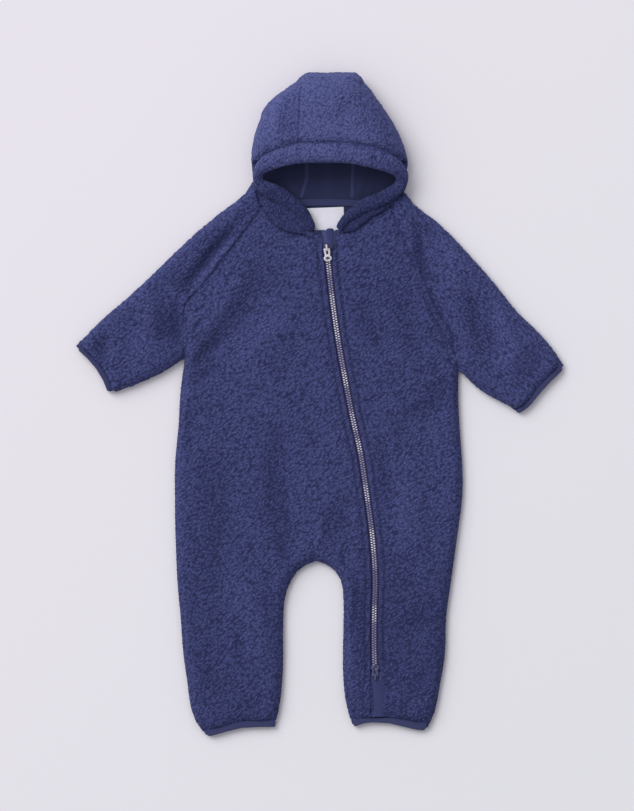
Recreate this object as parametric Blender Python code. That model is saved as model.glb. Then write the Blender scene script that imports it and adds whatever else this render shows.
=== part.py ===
"""Hooded onesie for a baby, in thick curly fleece, lying flat on its back.

Every cut piece of the garment is a wall of cloth of its own: back, two fronts, two raglan sleeves,
a three-panel hood with a turned casing round the face, bindings at wrists and ankles, a slanted
two-way zip with its tapes, chain, guard and foot strip, a neck tape and a blank label.

The pieces are drawn in plan from the tables below, in millimetres. +X is the wearer's left, +Y
points to the hood, +Z up from the floor, which the back of the garment rests on. "right" and
"left" in names are the wearer's. A sheet of cloth is a plan outline whose points are lifted to
the height that the cloth has there, and its inner face lies one wall inside its outer face.
"""
import math
from collections import namedtuple

import bmesh
import bpy
import numpy as np
from mathutils.geometry import delaunay_2d_cdt

MM = 0.001

# ---- cloth, in millimetres
FLEECE = 4.5            # wall of the fleece with its curly pile
SEAM_GAP = 0.3          # between two pieces that a seam joins
SEAM_HEIGHT = 5.7       # side seams and folded edges above the floor
LAID_HEIGHT = 12.0      # outer face of the fronts above the floor
EDGE_SWELL = 1.8        # how much fuller the cloth stands beside a folded edge
SWELL_REACH = 22.0      # plan distance over which that fullness fades
TOP_ROUND = 14.0        # plan width of the rounded edge, upper layer
UNDER_ROUND = 9.0       # plan width of the rounded edge, layer on the floor
LEAST_HOLLOW = 0.5      # least clear height between the fronts and the back
SEAM_SINK = 2.0         # depth of the valley that a seam pulls into the pile
SEAM_REACH = 7.0        # half its width

# ---- zip
CHAIN_WIDTH = 5.6       # the two rows of coil, closed
CHAIN_BASE = 7.4
CHAIN_TOP = 9.4
TAPE_WIDTH = 13.0       # one tape, from the middle of the zip outwards
TAPE_BASE = 6.3
TAPE_TOP = 7.0
ZIP_HALF_GAP = 4.5      # from the middle of the zip to the turned edge of a front
WELT_GROOVE = 7.0       # topstitching runs this far from the turned edge
GROOVE_DEPTH = 1.2
GROOVE_REACH = 3.0
LIP_REACH = 2.6         # the turned edge of a front rolls down over this width
LIP_DROP = 1.6
CHAIN_END_TOP = 186.0   # Y of the chain's two ends
CHAIN_END_FOOT = -317.5
TAPE_END_TOP = 192.0
TAPE_END_FOOT = -316.0

# ---- sliders and pull tabs
SLIDER_TOP_Y = 180.5    # the upper slider, closed, and the lower one at the foot of the zip
SLIDER_FOOT_Y = -313.6
SLIDER_WIDTH = 8.0
SLIDER_LENGTH = 9.6
SLIDER_TOP = 10.8
SLIDER_CEILING = 9.7
SLIDER_CHANNEL = 6.2
BRIDGE_WIDTH = 1.8
BRIDGE_TOP = 13.6
BRIDGE_UNDER = 12.6
BRIDGE_NOSE = 5.2       # from the hinge axis to the outer face of the nose post
BRIDGE_TAIL = 2.2       # from the hinge axis to the outer face of the tail post
POST = 1.1
PULL_AXIS = 11.7        # height of the hinge axis of both tabs
PULL_BAR = 1.24         # diameter of the bar that turns under the bridge
PULL_PLATE = 0.9
PULL_SHOULDER = 7.2
PULL_WAIST = 6.0
PULL_RING = 9.4         # across the oval eye
PULL_RING_LONG = 6.8    # and along the tab
PULL_HOLE = 5.4
PULL_HOLE_LONG = 3.4
PULL_SLOT = 2.8
PULL_SLOT_END = 6.2     # far end of the slot from the axis
PULL_LENGTH_TOP = 14.2
PULL_LENGTH_FOOT = 12.6

# ---- hood
HOOD_HEIGHT = 50.0      # outer face of the hood over the crown
COLLAR_HEIGHT = 14.5    # outer face of the hood where it leaves the neck seam
HOOD_RISE = (222.0, 305.0)      # the hood climbs from collar to full height between these Y
HOOD_TURN = (5.7, 17.0)         # height of its folded edge at the same two places
HOOD_ROUND = (13.0, 46.0)       # plan width of its rounded edge at the same two places
HOOD_UNDER = (9.0, 20.0)        # and on the floor side

CASING_BELOW = 5.5      # middle of the casing under the hood's outer face
CASING_OVER_TURN = 7.4  # and at least this far over the hood's folded edge
CASING_SIDES = 10

# ---- bindings at wrists and ankles, and small trims
BINDING_HEIGHT = 8.0    # of the flattened tube end, from the floor up
BINDING_WALL = 2.3
BINDING_SECTIONS = 28
TRIM_GAP = 0.3          # between a trim and the cloth that it is sewn on
NECK_TAPE_HALF = 3.8
NECK_TAPE_THICK = 1.0
LABEL_HALF = 21.5
LABEL_THICK = 0.6
GUARD_BASE = CHAIN_BASE
GUARD_SKIRT = 1.2       # upright part of the guard's sides
GUARD_CROWN = 2.4       # rise of its rounded top
STRIP_END_Y = -361.4
STRIP_BASE_RISE = 2.0   # upright part of the foot strip's sides
STRIP_CROWN = 1.5
STRIP_SIDE_RIGHT = 0.7  # between the strip and the turned edges of the two fronts
STRIP_SIDE_LEFT = 1.6
STRIP_OVER_HEM = 0.4    # between its end and the ankle binding

# ---- spacing of the mesh points
EDGE_STEP = 16.0
GRID_STEP = 20.0
BACK_STEP = 30.0
HOOD_STEP = 15.0

NAVY = (0.045, 0.053, 0.140)
NAVY_SMOOTH = (0.050, 0.056, 0.140)
JERSEY_BLUE = (0.050, 0.075, 0.190)
TAPE_NAVY = (0.030, 0.034, 0.095)
CHAIN_GREY = (0.200, 0.200, 0.300)
PAINTED_NAVY = (0.045, 0.050, 0.120)
SILVER = (0.800, 0.800, 0.820)
WHITE_WEAVE = (0.800, 0.810, 0.870)


def table(columns, *values):
    """A table with named columns: one named tuple for each row."""
    row = namedtuple("Row", columns)
    return [row(*value) for value in values]


# Sides of the body from the armpits down to the ankle bindings.
SIDES = table(
    "right_x right_y left_x left_y",
    (-156.0, 53.5, 161.0, 39.0),
    (-161.0, 16.0, 160.8, 6.0),
    (-163.5, -27.0, 162.6, -30.0),
    (-167.3, -66.0, 165.6, -72.0),
    (-167.6, -108.0, 165.4, -108.0),
    (-167.0, -150.0, 160.0, -150.0),
    (-164.6, -206.0, 152.3, -206.0),
    (-161.0, -246.0, 146.6, -248.0),
    (-158.0, -287.0, 145.6, -287.0),
    (-153.4, -320.0, 140.6, -320.0),
    (-147.5, -358.0, 134.6, -352.0),
    (-134.6, -380.0, 127.8, -370.5),
)

# Inner edges of the two legs, from the ankles up to the crotch.
INSEAMS = table(
    "right_x right_y left_x left_y",
    (-50.3, -366.7, 35.9, -366.0),
    (-45.5, -344.0, 29.6, -340.0),
    (-42.2, -304.0, 27.0, -304.0),
    (-42.0, -262.0, 27.6, -262.0),
    (-40.6, -228.0, 27.8, -228.0),
    (-34.0, -206.5, 25.5, -206.0),
    (-24.0, -192.0, 17.0, -192.0),
)
CROTCH = (-3.0, -181.5)

# Sleeves, each row a section across the sleeve at a distance up from the middle of the wrist:
# how far the upper and the lower edge lie from the sleeve's middle line.
SLEEVE_RIGHT = table(
    "along upper lower",
    (7.0, 34.6, -37.8),
    (21.0, 37.0, -43.5),
    (48.0, 40.5, -50.5),
    (70.0, 41.5, -55.0),
    (94.5, 43.0, -55.9),
)
SLEEVE_LEFT = table(
    "along upper lower",
    (6.0, 43.4, -35.0),
    (21.5, 47.8, -39.4),
    (44.5, 50.2, -45.9),
    (64.0, 50.4, -48.0),
    (85.0, 50.4, -47.4),
)
# Above the armpits only the upper edge is left, up to the side of the hood.
SHOULDER_RIGHT = table(
    "along upper",
    (126.0, 46.0),
    (162.5, 50.2),
    (196.0, 53.2),
    (232.0, 54.4),
    (258.0, 53.6),
    (281.5, 58.8),
)
SHOULDER_LEFT = table(
    "along upper",
    (126.0, 56.0),
    (160.0, 58.6),
    (192.0, 60.6),
    (222.0, 61.0),
    (250.0, 57.2),
    (272.4, 58.6),
)
WRIST_RIGHT = (-264.0, 40.0)
WRIST_LEFT = (255.0, 14.0)
CUFF_CORNER = (-238.2, 16.0)   # where the right cuff's seam meets the sleeve's lower edge
SLEEVE_ANGLE_RIGHT = math.radians(37.7)
SLEEVE_ANGLE_LEFT = math.radians(136.0)

# Raglan seams from the neck down to the armpits.
RAGLANS = table(
    "right_x right_y left_x left_y",
    (-68.0, 228.5, 83.0, 227.5),
    (-80.0, 210.0, 93.5, 200.0),
    (-94.0, 191.5, 103.5, 178.0),
    (-111.0, 170.0, 116.0, 145.0),
    (-128.0, 147.5, 126.0, 120.0),
    (-144.0, 129.0, 137.0, 99.0),
    (-156.0, 114.0, 149.0, 81.0),
    (-159.5, 90.0, 157.5, 60.0),
    (-156.0, 53.5, 161.0, 39.0),
)

# Front neck seams from the raglan seams in to the zip, and the back neck seam between the raglans.
NECK_FRONT = table(
    "right_x right_y left_x left_y",
    (-68.0, 228.5, 83.0, 227.5),
    (-57.5, 214.0, 66.0, 220.0),
    (-49.5, 205.5, 53.0, 210.5),
    (-39.0, 199.8, 45.0, 203.0),
    (-25.0, 197.3, 37.0, 199.4),
    (-9.0, 196.6, 19.0, 198.4),
)
NECK_BACK = table(
    "x y",
    (-68.0, 228.5),
    (-58.0, 233.5),
    (-20.0, 236.5),
    (8.0, 237.0),
    (40.0, 236.0),
    (73.0, 233.0),
    (83.0, 227.5),
)

# Middle of the zip, from the neck down to the foot of the opening.
ZIP_LINE = table(
    "x y",
    (7.0, 198.0),
    (8.3, 181.0),
    (15.0, 121.0),
    (21.6, 75.0),
    (30.0, 28.0),
    (39.0, -18.0),
    (47.5, -56.0),
    (54.5, -102.0),
    (61.0, -151.0),
    (64.6, -200.0),
    (63.6, -240.0),
    (63.4, -280.0),
    (64.6, -318.0),
)
GUARD_SIDE_X = 18.6     # the left front stands back here, at the neck, for the zip guard
FOOT_STRIP_RIGHT_X = 59.2
FOOT_STRIP_LEFT_X = 77.0
FOOT_STRIP_TOP_Y = -319.5
FOOT_STRIP_BEND_Y = -335.0

# Ankle and wrist bindings: each row is one section, from the cloth's seam to the free edge.
BIND_LEG_RIGHT = table(
    "seam_x seam_y edge_x edge_y",
    (-134.6, -380.0, -127.6, -385.0),
    (-117.7, -373.8, -117.0, -382.0),
    (-100.0, -368.4, -99.0, -376.8),
    (-84.0, -365.8, -84.0, -374.2),
    (-64.4, -366.0, -64.4, -373.9),
    (-50.3, -366.7, -51.4, -374.0),
)
BIND_LEG_LEFT = table(
    "seam_x seam_y edge_x edge_y",
    (35.9, -366.0, 40.5, -373.6),
    (53.2, -363.4, 54.0, -369.2),
    (70.9, -362.2, 70.9, -368.6),
    (88.0, -363.2, 88.0, -370.8),
    (108.0, -366.4, 106.4, -375.8),
    (127.8, -370.5, 120.6, -378.3),
)
BIND_ARM_RIGHT = table(
    "seam_x seam_y edge_x edge_y",
    (-279.6, 71.6, -279.4, 62.5),
    (-268.0, 59.4, -266.0, 50.0),
    (-257.5, 48.6, -257.7, 39.4),
    (-250.2, 39.0, -251.6, 29.0),
    (-243.8, 27.5, -247.9, 20.0),
    (-239.4, 15.4, -246.4, 15.6),
)
BIND_ARM_LEFT = table(
    "seam_x seam_y edge_x edge_y",
    (226.4, -6.9, 231.5, -10.4),
    (238.0, 1.6, 242.6, -2.8),
    (249.0, 15.2, 253.0, 9.6),
    (259.5, 28.0, 263.0, 21.8),
    (270.0, 38.6, 273.0, 31.0),
    (280.8, 49.4, 281.6, 39.5),
)

# Middle lines of the neck tape and of the label, and sections of the zip guard down to its tip.
NECK_TAPE = table("x y", (-52.0, 231.0), (-20.0, 233.8), (8.0, 234.3), (40.0, 233.4), (66.0, 231.0))
LABEL = table("x y", (6.5, 228.2), (7.0, 215.0), (7.2, 200.6))
GUARD = table(
    "x y half",
    (12.1, 204.0, 3.0),
    (12.1, 201.0, 5.2),
    (12.2, 197.0, 5.7),
    (12.6, 192.0, 4.6),
    (13.6, 187.0, 2.6),
    (14.4, 181.5, 1.1),
)

# Outline of the hood, from the neck seam on the right over the crown to the neck on the left.
HOOD_RIGHT = table(
    "x y",
    (-68.0, 228.5),
    (-74.5, 246.0),
    (-77.6, 264.0),
    (-79.4, 284.0),
    (-77.5, 303.0),
    (-73.0, 320.0),
    (-62.0, 348.0),
    (-40.0, 365.0),
    (-19.0, 379.5),
)
HOOD_CROWN = table(
    "x y",
    (-19.0, 379.5),
    (-15.0, 384.0),
    (14.0, 385.0),
    (40.0, 384.4),
    (47.0, 378.0),
)
HOOD_LEFT = table(
    "x y",
    (47.0, 378.0),
    (61.0, 363.0),
    (76.0, 341.0),
    (90.0, 318.0),
    (100.0, 293.0),
    (103.6, 270.0),
    (100.0, 246.0),
    (83.0, 227.5),
)
CASING_RIGHT_CORNER = (-73.2, 243.0)    # where the casing reaches the hood's outline, low
CASING_RIGHT_HIGH = (-79.4, 284.0)      # and where it leaves it again, high
CASING_LEFT_CORNER = (100.0, 246.0)
CASING_LEFT_HIGH = (102.6, 281.0)

# Seams of the hood: outside over the crown, and inside on the layer that lies on the floor.
HOOD_SEAM_RIGHT = table("x y", (-24.5, 303.0), (-23.5, 330.0), (-22.4, 358.0), (-19.0, 379.5))
HOOD_SEAM_LEFT = table("x y", (61.0, 298.2), (52.5, 322.0), (47.6, 345.0), (47.0, 378.0))
HOOD_SEAM_RIGHT_IN = table("x y", (-19.0, 379.5), (-14.0, 320.0), (-15.0, 262.0), (-22.0, 236.4))
HOOD_SEAM_LEFT_IN = table("x y", (47.0, 378.0), (42.0, 320.0), (38.5, 262.0), (38.5, 236.1))

# The casing's seam over the crown, and beside the face down to the neck.
CASING_SEAM_RIGHT = table("x y", (-79.4, 284.0), (-56.0, 293.0), (-42.0, 299.5), (-24.5, 303.0))
CASING_SEAM_CROWN = table("x y", (-24.5, 303.0), (8.0, 304.0), (36.0, 303.0), (61.0, 298.2))
CASING_SEAM_LEFT = table("x y", (61.0, 298.2), (74.0, 294.5), (89.0, 288.5), (102.6, 281.0))
LAPEL_SEAM_RIGHT = table("x y", (-73.2, 243.0), (-50.0, 232.5), (-33.0, 223.0), (-14.0, 199.5))
LAPEL_SEAM_LEFT = table("x y", (100.0, 246.0), (74.0, 230.0), (44.5, 216.0), (27.8, 200.5))

# The casing as a roll round the face: middle of each section, its width and its thickness.
CASING = table(
    "x y width thick",
    (-8.6, 201.2, 10.6, 8.0),
    (-11.6, 208.5, 12.5, 9.0),
    (-17.5, 218.5, 15.0, 10.5),
    (-27.5, 229.5, 16.5, 11.5),
    (-43.0, 240.8, 18.0, 12.0),
    (-59.0, 249.2, 18.0, 12.0),
    (-70.0, 256.0, 13.0, 12.5),
    (-72.3, 264.5, 11.0, 13.0),
    (-68.0, 273.6, 15.0, 13.0),
    (-55.0, 281.6, 21.5, 13.0),
    (-37.0, 288.2, 24.5, 13.0),
    (-16.0, 290.6, 24.5, 13.0),
    (8.0, 291.0, 25.0, 13.0),
    (32.0, 290.4, 24.5, 13.0),
    (55.0, 286.2, 24.0, 13.0),
    (77.0, 279.4, 22.0, 13.0),
    (92.0, 271.0, 17.0, 13.0),
    (96.2, 260.5, 14.5, 13.0),
    (90.0, 249.5, 15.5, 12.5),
    (72.0, 238.6, 16.5, 12.0),
    (51.0, 229.6, 16.5, 11.5),
    (36.0, 219.4, 13.0, 10.5),
    (27.6, 211.5, 10.4, 9.5),
    (24.0, 205.5, 9.6, 8.5),
    (22.2, 202.2, 8.8, 8.0),
)

# Folds that the cloth lies in: a bent line from start through mid to end, the fold's half width,
# and how far it rises. A trough has a negative rise.
FOLDS = table(
    "start mid end reach rise",
    ((-52, 156), (-104, 98), (-148, 30), 13, -2.2),
    ((-84, 150), (-122, 100), (-146, 66), 14, 1.8),
    ((-152, 112), (-150, 92), (-153, 70), 12, 2.8),
    ((-30, 128), (-70, 72), (-112, 24), 16, 1.2),
    ((-149, 2), (-153, -26), (-152, -58), 9, -1.6),
    ((-41, -13), (-51, -92), (-45, -166), 13, -1.8),
    ((-20, -60), (-16, -110), (-18, -150), 14, 1.0),
    ((27, -100), (25, -134), (14, -162), 11, -1.9),
    ((1, -128), (-2, -152), (-4, -168), 12, 1.6),
    ((-124, -44), (-120, -130), (-122, -226), 15, -1.3),
    ((-92, -190), (-84, -250), (-88, -316), 20, 1.2),
    ((-62, -206), (-58, -240), (-60, -282), 11, -1.2),
    ((-70, -342), (-94, -346), (-120, -352), 13, 1.2),
    ((47, -200), (45, -236), (42, -282), 10, -1.6),
    ((70, -34), (76, -78), (82, -126), 11, -1.7),
    ((96, -60), (104, -120), (104, -176), 17, 1.1),
    ((140, -210), (122, -244), (96, -262), 10, -1.4),
    ((142, -232), (128, -262), (108, -292), 13, 1.3),
    ((48, 128), (60, 92), (84, 58), 14, -1.4),
    ((116, 108), (136, 78), (144, 48), 12, 2.6),
    ((76, 150), (102, 96), (112, 40), 13, -1.5),
    ((148, 26), (128, 0), (92, -18), 12, -1.7),
    ((-85, 220), (-108, 186), (-140, 144), 6, 1.8),
    ((-112, 192), (-134, 158), (-160, 134), 9, -1.6),
    ((-176, 112), (-174, 86), (-172, 58), 12, -2.2),
    ((-200, 128), (-206, 90), (-206, 46), 16, 1.4),
    ((-252, 84), (-250, 66), (-252, 48), 9, -2.0),
    ((-238, 96), (-232, 66), (-230, 34), 10, 1.4),
    ((112, 216), (128, 172), (146, 120), 10, -1.8),
    ((134, 200), (152, 166), (166, 124), 13, 1.4),
    ((172, 128), (184, 92), (190, 44), 12, -2.0),
    ((206, 116), (214, 74), (214, 30), 13, 1.5),
    ((250, 66), (244, 44), (230, 22), 10, -1.6),
)


# ---- curves in plan -------------------------------------------------------------------------

def points_of(rows, side=""):
    """The plan points of a table, of its right or left columns where it has both."""
    return np.array([[getattr(row, side + "x"), getattr(row, side + "y")] for row in rows])


def smooth(points, step):
    """A smooth curve through all points, with its own points about one step apart."""
    points = np.asarray(points, float)
    before = 2 * points[0] - points[1]
    after = 2 * points[-1] - points[-2]
    knots = np.vstack([before, points, after])
    fine = []
    for a, b, c, d in zip(knots, knots[1:], knots[2:], knots[3:]):
        for t in np.arange(0.0, 1.0, 0.1):
            fine.append(0.5 * (2 * b + (c - a) * t + (2 * a - 5 * b + 4 * c - d) * t * t
                               + (3 * b - a - 3 * c + d) * t ** 3))
    fine.append(points[-1])
    return resample(np.array(fine), step)


def resample(line, step):
    """The same line with evenly spaced points, its two ends kept."""
    lengths = np.linalg.norm(np.diff(line, axis=0), axis=1)
    travelled = np.concatenate([[0.0], np.cumsum(lengths)])
    count = max(2, int(round(travelled[-1] / step)) + 1)
    wanted = np.linspace(0.0, travelled[-1], count)
    return np.stack([np.interp(wanted, travelled, line[:, k]) for k in range(line.shape[1])], 1)


def directions(line):
    """Unit directions along an open line, one for each point."""
    steps = np.gradient(line, axis=0)
    return steps / np.linalg.norm(steps, axis=1)[:, None]


def turned_left(vectors):
    return np.stack([-vectors[:, 1], vectors[:, 0]], 1)


def offset_line(line, distance):
    """The line moved to its own left by a distance, or by one distance for each point."""
    return line + turned_left(directions(line)) * np.reshape(distance, (-1, 1))


def split_at(line, places, step):
    """A smooth line cut at its points nearest to some places, each stretch spaced by step."""
    fine = smooth(line, 1.0)
    marks = [int(np.argmin(np.linalg.norm(fine - place, axis=1))) for place in places]
    marks = [0, *marks, len(fine) - 1]
    return [resample(fine[a:b + 1], step) for a, b in zip(marks, marks[1:])]


def nearest(points, lines):
    """Distance of each point to the nearest of some lines, and the direction away from it."""
    best = np.full(len(points), 1e9)
    away = np.zeros((len(points), 2))
    for line in lines:
        start = line[:-1]
        run = line[1:] - start
        along = ((points[:, None] - start) * run).sum(2) / (run * run).sum(1)
        foot = start + run * np.clip(along, 0.0, 1.0)[..., None]
        gap = points[:, None] - foot
        distance = np.linalg.norm(gap, axis=2)
        pick = distance.argmin(1)
        rows = np.arange(len(points))
        closer = distance[rows, pick] < best
        best[closer] = distance[rows, pick][closer]
        away[closer] = gap[rows, pick][closer]
    return best, away / np.maximum(best, 1e-6)[:, None]


def ease(value):
    """0 below 0, 1 above 1, and a soft step between."""
    value = np.clip(value, 0.0, 1.0)
    return value * value * (3 - 2 * value)


# ---- the lines that pieces share ------------------------------------------------------------

def sleeve_point(wrist, angle, along, across):
    """A point by its distance up the sleeve's middle line and its distance to the side of it."""
    return (wrist[0] + along * math.cos(angle) - across * math.sin(angle),
            wrist[1] + along * math.sin(angle) + across * math.cos(angle))


def sleeve_edges(sections, shoulder, wrist, angle, flip):
    """Upper edge from wrist to hood, and under edge from wrist to armpit. Flip mirrors them."""
    upper = [sleeve_point(wrist, angle, row.along, row.upper * flip) for row in sections]
    upper += [sleeve_point(wrist, angle, row.along, row.upper * flip) for row in shoulder]
    under = [sleeve_point(wrist, angle, row.along, row.lower * flip) for row in sections]
    return np.array(upper), np.array(under)


def zip_side(offset):
    """A line beside the zip, a distance to the wearer's left of its middle."""
    return offset_line(smooth(points_of(ZIP_LINE), EDGE_STEP * 1.25), offset)


def zip_between(low_y, high_y):
    """The zip's middle line between two Y, from the top down."""
    line = smooth(points_of(ZIP_LINE), 1.0)
    return line[(line[:, 1] < high_y) & (line[:, 1] > low_y)]


def left_zip_edge():
    """Turned edge of the left front: it stands back for the guard, and at the foot strip."""
    line = zip_side(ZIP_HALF_GAP)
    line = line[(line[:, 1] < 172.0) & (line[:, 1] > FOOT_STRIP_TOP_Y + 14.0)]
    head = [(19.0, 198.4), (GUARD_SIDE_X - 1.2, 188.0)]
    foot = [(70.4, -313.0), (74.6, -321.0), (FOOT_STRIP_LEFT_X, FOOT_STRIP_BEND_Y)]
    return np.vstack([head, line, foot])


def right_zip_edge():
    """Turned edge of the right front: up to the guard's side, and on past the foot strip."""
    line = zip_side(-ZIP_HALF_GAP)
    line = line[(line[:, 1] < 180.0) & (line[:, 1] > FOOT_STRIP_TOP_Y)]
    return np.vstack([[(4.0, 197.2)], line, [(FOOT_STRIP_RIGHT_X, FOOT_STRIP_BEND_Y)]])


HEM_RIGHT = smooth(points_of(BIND_LEG_RIGHT, "seam_"), EDGE_STEP)
HEM_LEFT = smooth(points_of(BIND_LEG_LEFT, "seam_"), 4.0)
CUFF_RIGHT = smooth(points_of(BIND_ARM_RIGHT, "seam_"), EDGE_STEP * 0.75)
CUFF_LEFT = smooth(points_of(BIND_ARM_LEFT, "seam_"), EDGE_STEP * 0.75)
SIDE_RIGHT = smooth(points_of(SIDES, "right_"), EDGE_STEP)
SIDE_LEFT = smooth(points_of(SIDES, "left_"), EDGE_STEP)
INSEAM = smooth(np.vstack([points_of(INSEAMS, "right_"), [CROTCH],
                           points_of(INSEAMS, "left_")[::-1]]), EDGE_STEP * 0.8)
RAGLAN_RIGHT = smooth(points_of(RAGLANS, "right_"), EDGE_STEP)
RAGLAN_LEFT = smooth(points_of(RAGLANS, "left_"), EDGE_STEP)
NECK_RIGHT = smooth(points_of(NECK_FRONT, "right_"), EDGE_STEP * 0.7)
NECK_LEFT = smooth(points_of(NECK_FRONT, "left_"), EDGE_STEP * 0.7)
NECK_CORNERS = [points_of(HOOD_SEAM_RIGHT_IN)[-1], points_of(HOOD_SEAM_LEFT_IN)[-1]]
NECK_SPLIT = split_at(points_of(NECK_BACK), NECK_CORNERS, EDGE_STEP)
BACK_NECK = np.vstack([NECK_SPLIT[0][:-1], NECK_SPLIT[1][:-1], NECK_SPLIT[2]])
HOOD_SIDE_RIGHT = smooth(points_of(HOOD_RIGHT), HOOD_STEP * 0.7)
HOOD_TOP = smooth(points_of(HOOD_CROWN), HOOD_STEP * 0.7)
HOOD_SIDE_LEFT = smooth(points_of(HOOD_LEFT), HOOD_STEP * 0.7)


def garment_folds():
    """Every folded edge of body and sleeves, the lines from which the edges round up."""
    upper_right, under_right = sleeve_edges(SLEEVE_RIGHT, SHOULDER_RIGHT, WRIST_RIGHT,
                                            SLEEVE_ANGLE_RIGHT, 1)
    upper_left, under_left = sleeve_edges(SLEEVE_LEFT, SHOULDER_LEFT, WRIST_LEFT,
                                          SLEEVE_ANGLE_LEFT, -1)
    return {
        "side_right": SIDE_RIGHT, "side_left": SIDE_LEFT, "inseam": INSEAM,
        "sleeve_top_right": smooth(upper_right, EDGE_STEP),
        "sleeve_under_right": smooth(under_right, EDGE_STEP),
        "sleeve_top_left": smooth(upper_left, EDGE_STEP),
        "sleeve_under_left": smooth(under_left, EDGE_STEP),
    }


BODY_FOLDS = garment_folds()
HOOD_FOLDS = {"right": HOOD_SIDE_RIGHT, "crown": HOOD_TOP, "left": HOOD_SIDE_LEFT}
SEAMS = [RAGLAN_RIGHT, RAGLAN_LEFT, NECK_RIGHT, NECK_LEFT, HEM_RIGHT, HEM_LEFT, CUFF_RIGHT,
         CUFF_LEFT]


# ---- heights of the cloth -------------------------------------------------------------------

def fold_line(fold):
    """The bent line of one fold, as points with their share of its length."""
    share = np.linspace(0.0, 1.0, 13)
    start, mid, end = (np.array(p, float) for p in (fold.start, fold.mid, fold.end))
    bend = 2 * mid - (start + end) / 2
    line = (np.outer((1 - share) ** 2, start) + np.outer(2 * share * (1 - share), bend)
            + np.outer(share ** 2, end))
    return line, share


def fold_rise(points):
    """Sum of all folds at some plan points: each is highest along its middle and fades out."""
    total = np.zeros(len(points))
    for fold in FOLDS:
        line, share = fold_line(fold)
        distance, _ = nearest(points, [line])
        place = share[np.linalg.norm(points[:, None] - line, axis=2).argmin(1)]
        fade = ease(place * 4) * ease((1 - place) * 4)
        total += fold.rise * fade * (1 - ease(distance / (1.6 * fold.reach)))
    return total


def zip_relief(points):
    """The welt beside the zip: full at the turned edge, with a groove where it is stitched."""
    distance, _ = nearest(points, [left_zip_edge(), right_zip_edge()])
    groove = GROOVE_DEPTH * (1 - ease(np.abs(distance - WELT_GROOVE) / GROOVE_REACH))
    lip = LIP_DROP * (1 - ease(distance / LIP_REACH))
    return -groove - lip


def seam_valley(points):
    distance, _ = nearest(points, SEAMS)
    return -SEAM_SINK * (1 - ease(distance / SEAM_REACH))


class Body:
    """Heights of body and sleeves. `turn` is the height of a folded edge."""
    folds = list(BODY_FOLDS.values())

    def __init__(self, turn):
        self.turn_height = turn

    def turn(self, points):
        return np.full(len(points), self.turn_height)

    def top_round(self, points):
        return np.full(len(points), TOP_ROUND)

    def under_round(self, points):
        return np.full(len(points), UNDER_ROUND)

    def top(self, points):
        return np.full(len(points), LAID_HEIGHT + EDGE_SWELL)

    def relief(self, points, distance):
        """What lies on the plain form: folds, seams, and the fullness by an edge fading inwards."""
        swell = -EDGE_SWELL * ease((distance - TOP_ROUND * 0.6) / SWELL_REACH)
        form = (fold_rise(points) + seam_valley(points)) * ease(distance / TOP_ROUND)
        over_tape, _ = nearest(points, [left_zip_edge(), right_zip_edge()])
        form = np.maximum(form, form * ease((over_tape - TAPE_WIDTH) / TAPE_WIDTH))
        lowest = FLEECE + LEAST_HOLLOW - (LAID_HEIGHT + EDGE_SWELL - FLEECE)
        return np.maximum(form + swell, lowest)

    def outer_relief(self, points):
        return zip_relief(points)


class Hood:
    """Heights of the hood, which climbs from the collar to the crown."""
    folds = list(HOOD_FOLDS.values())

    def climb(self, points, low_high):
        low, high = low_high
        start, end = HOOD_RISE
        return low + (high - low) * ease((points[:, 1] - start) / (end - start))

    def turn(self, points):
        return self.climb(points, HOOD_TURN)

    def top_round(self, points):
        return self.climb(points, HOOD_ROUND)

    def under_round(self, points):
        return self.climb(points, HOOD_UNDER)

    def top(self, points):
        return self.climb(points, (COLLAR_HEIGHT, HOOD_HEIGHT))

    def relief(self, points, distance):
        """The valleys along the two seams over the crown."""
        seams = [points_of(HOOD_SEAM_RIGHT), points_of(HOOD_SEAM_LEFT)]
        gap, _ = nearest(points, seams)
        return -SEAM_SINK * (1 - ease(gap / SEAM_REACH)) * ease(distance / SWELL_REACH * 2)

    def outer_relief(self, points):
        return np.zeros(len(points))


# ---- sheets of cloth ------------------------------------------------------------------------

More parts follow.
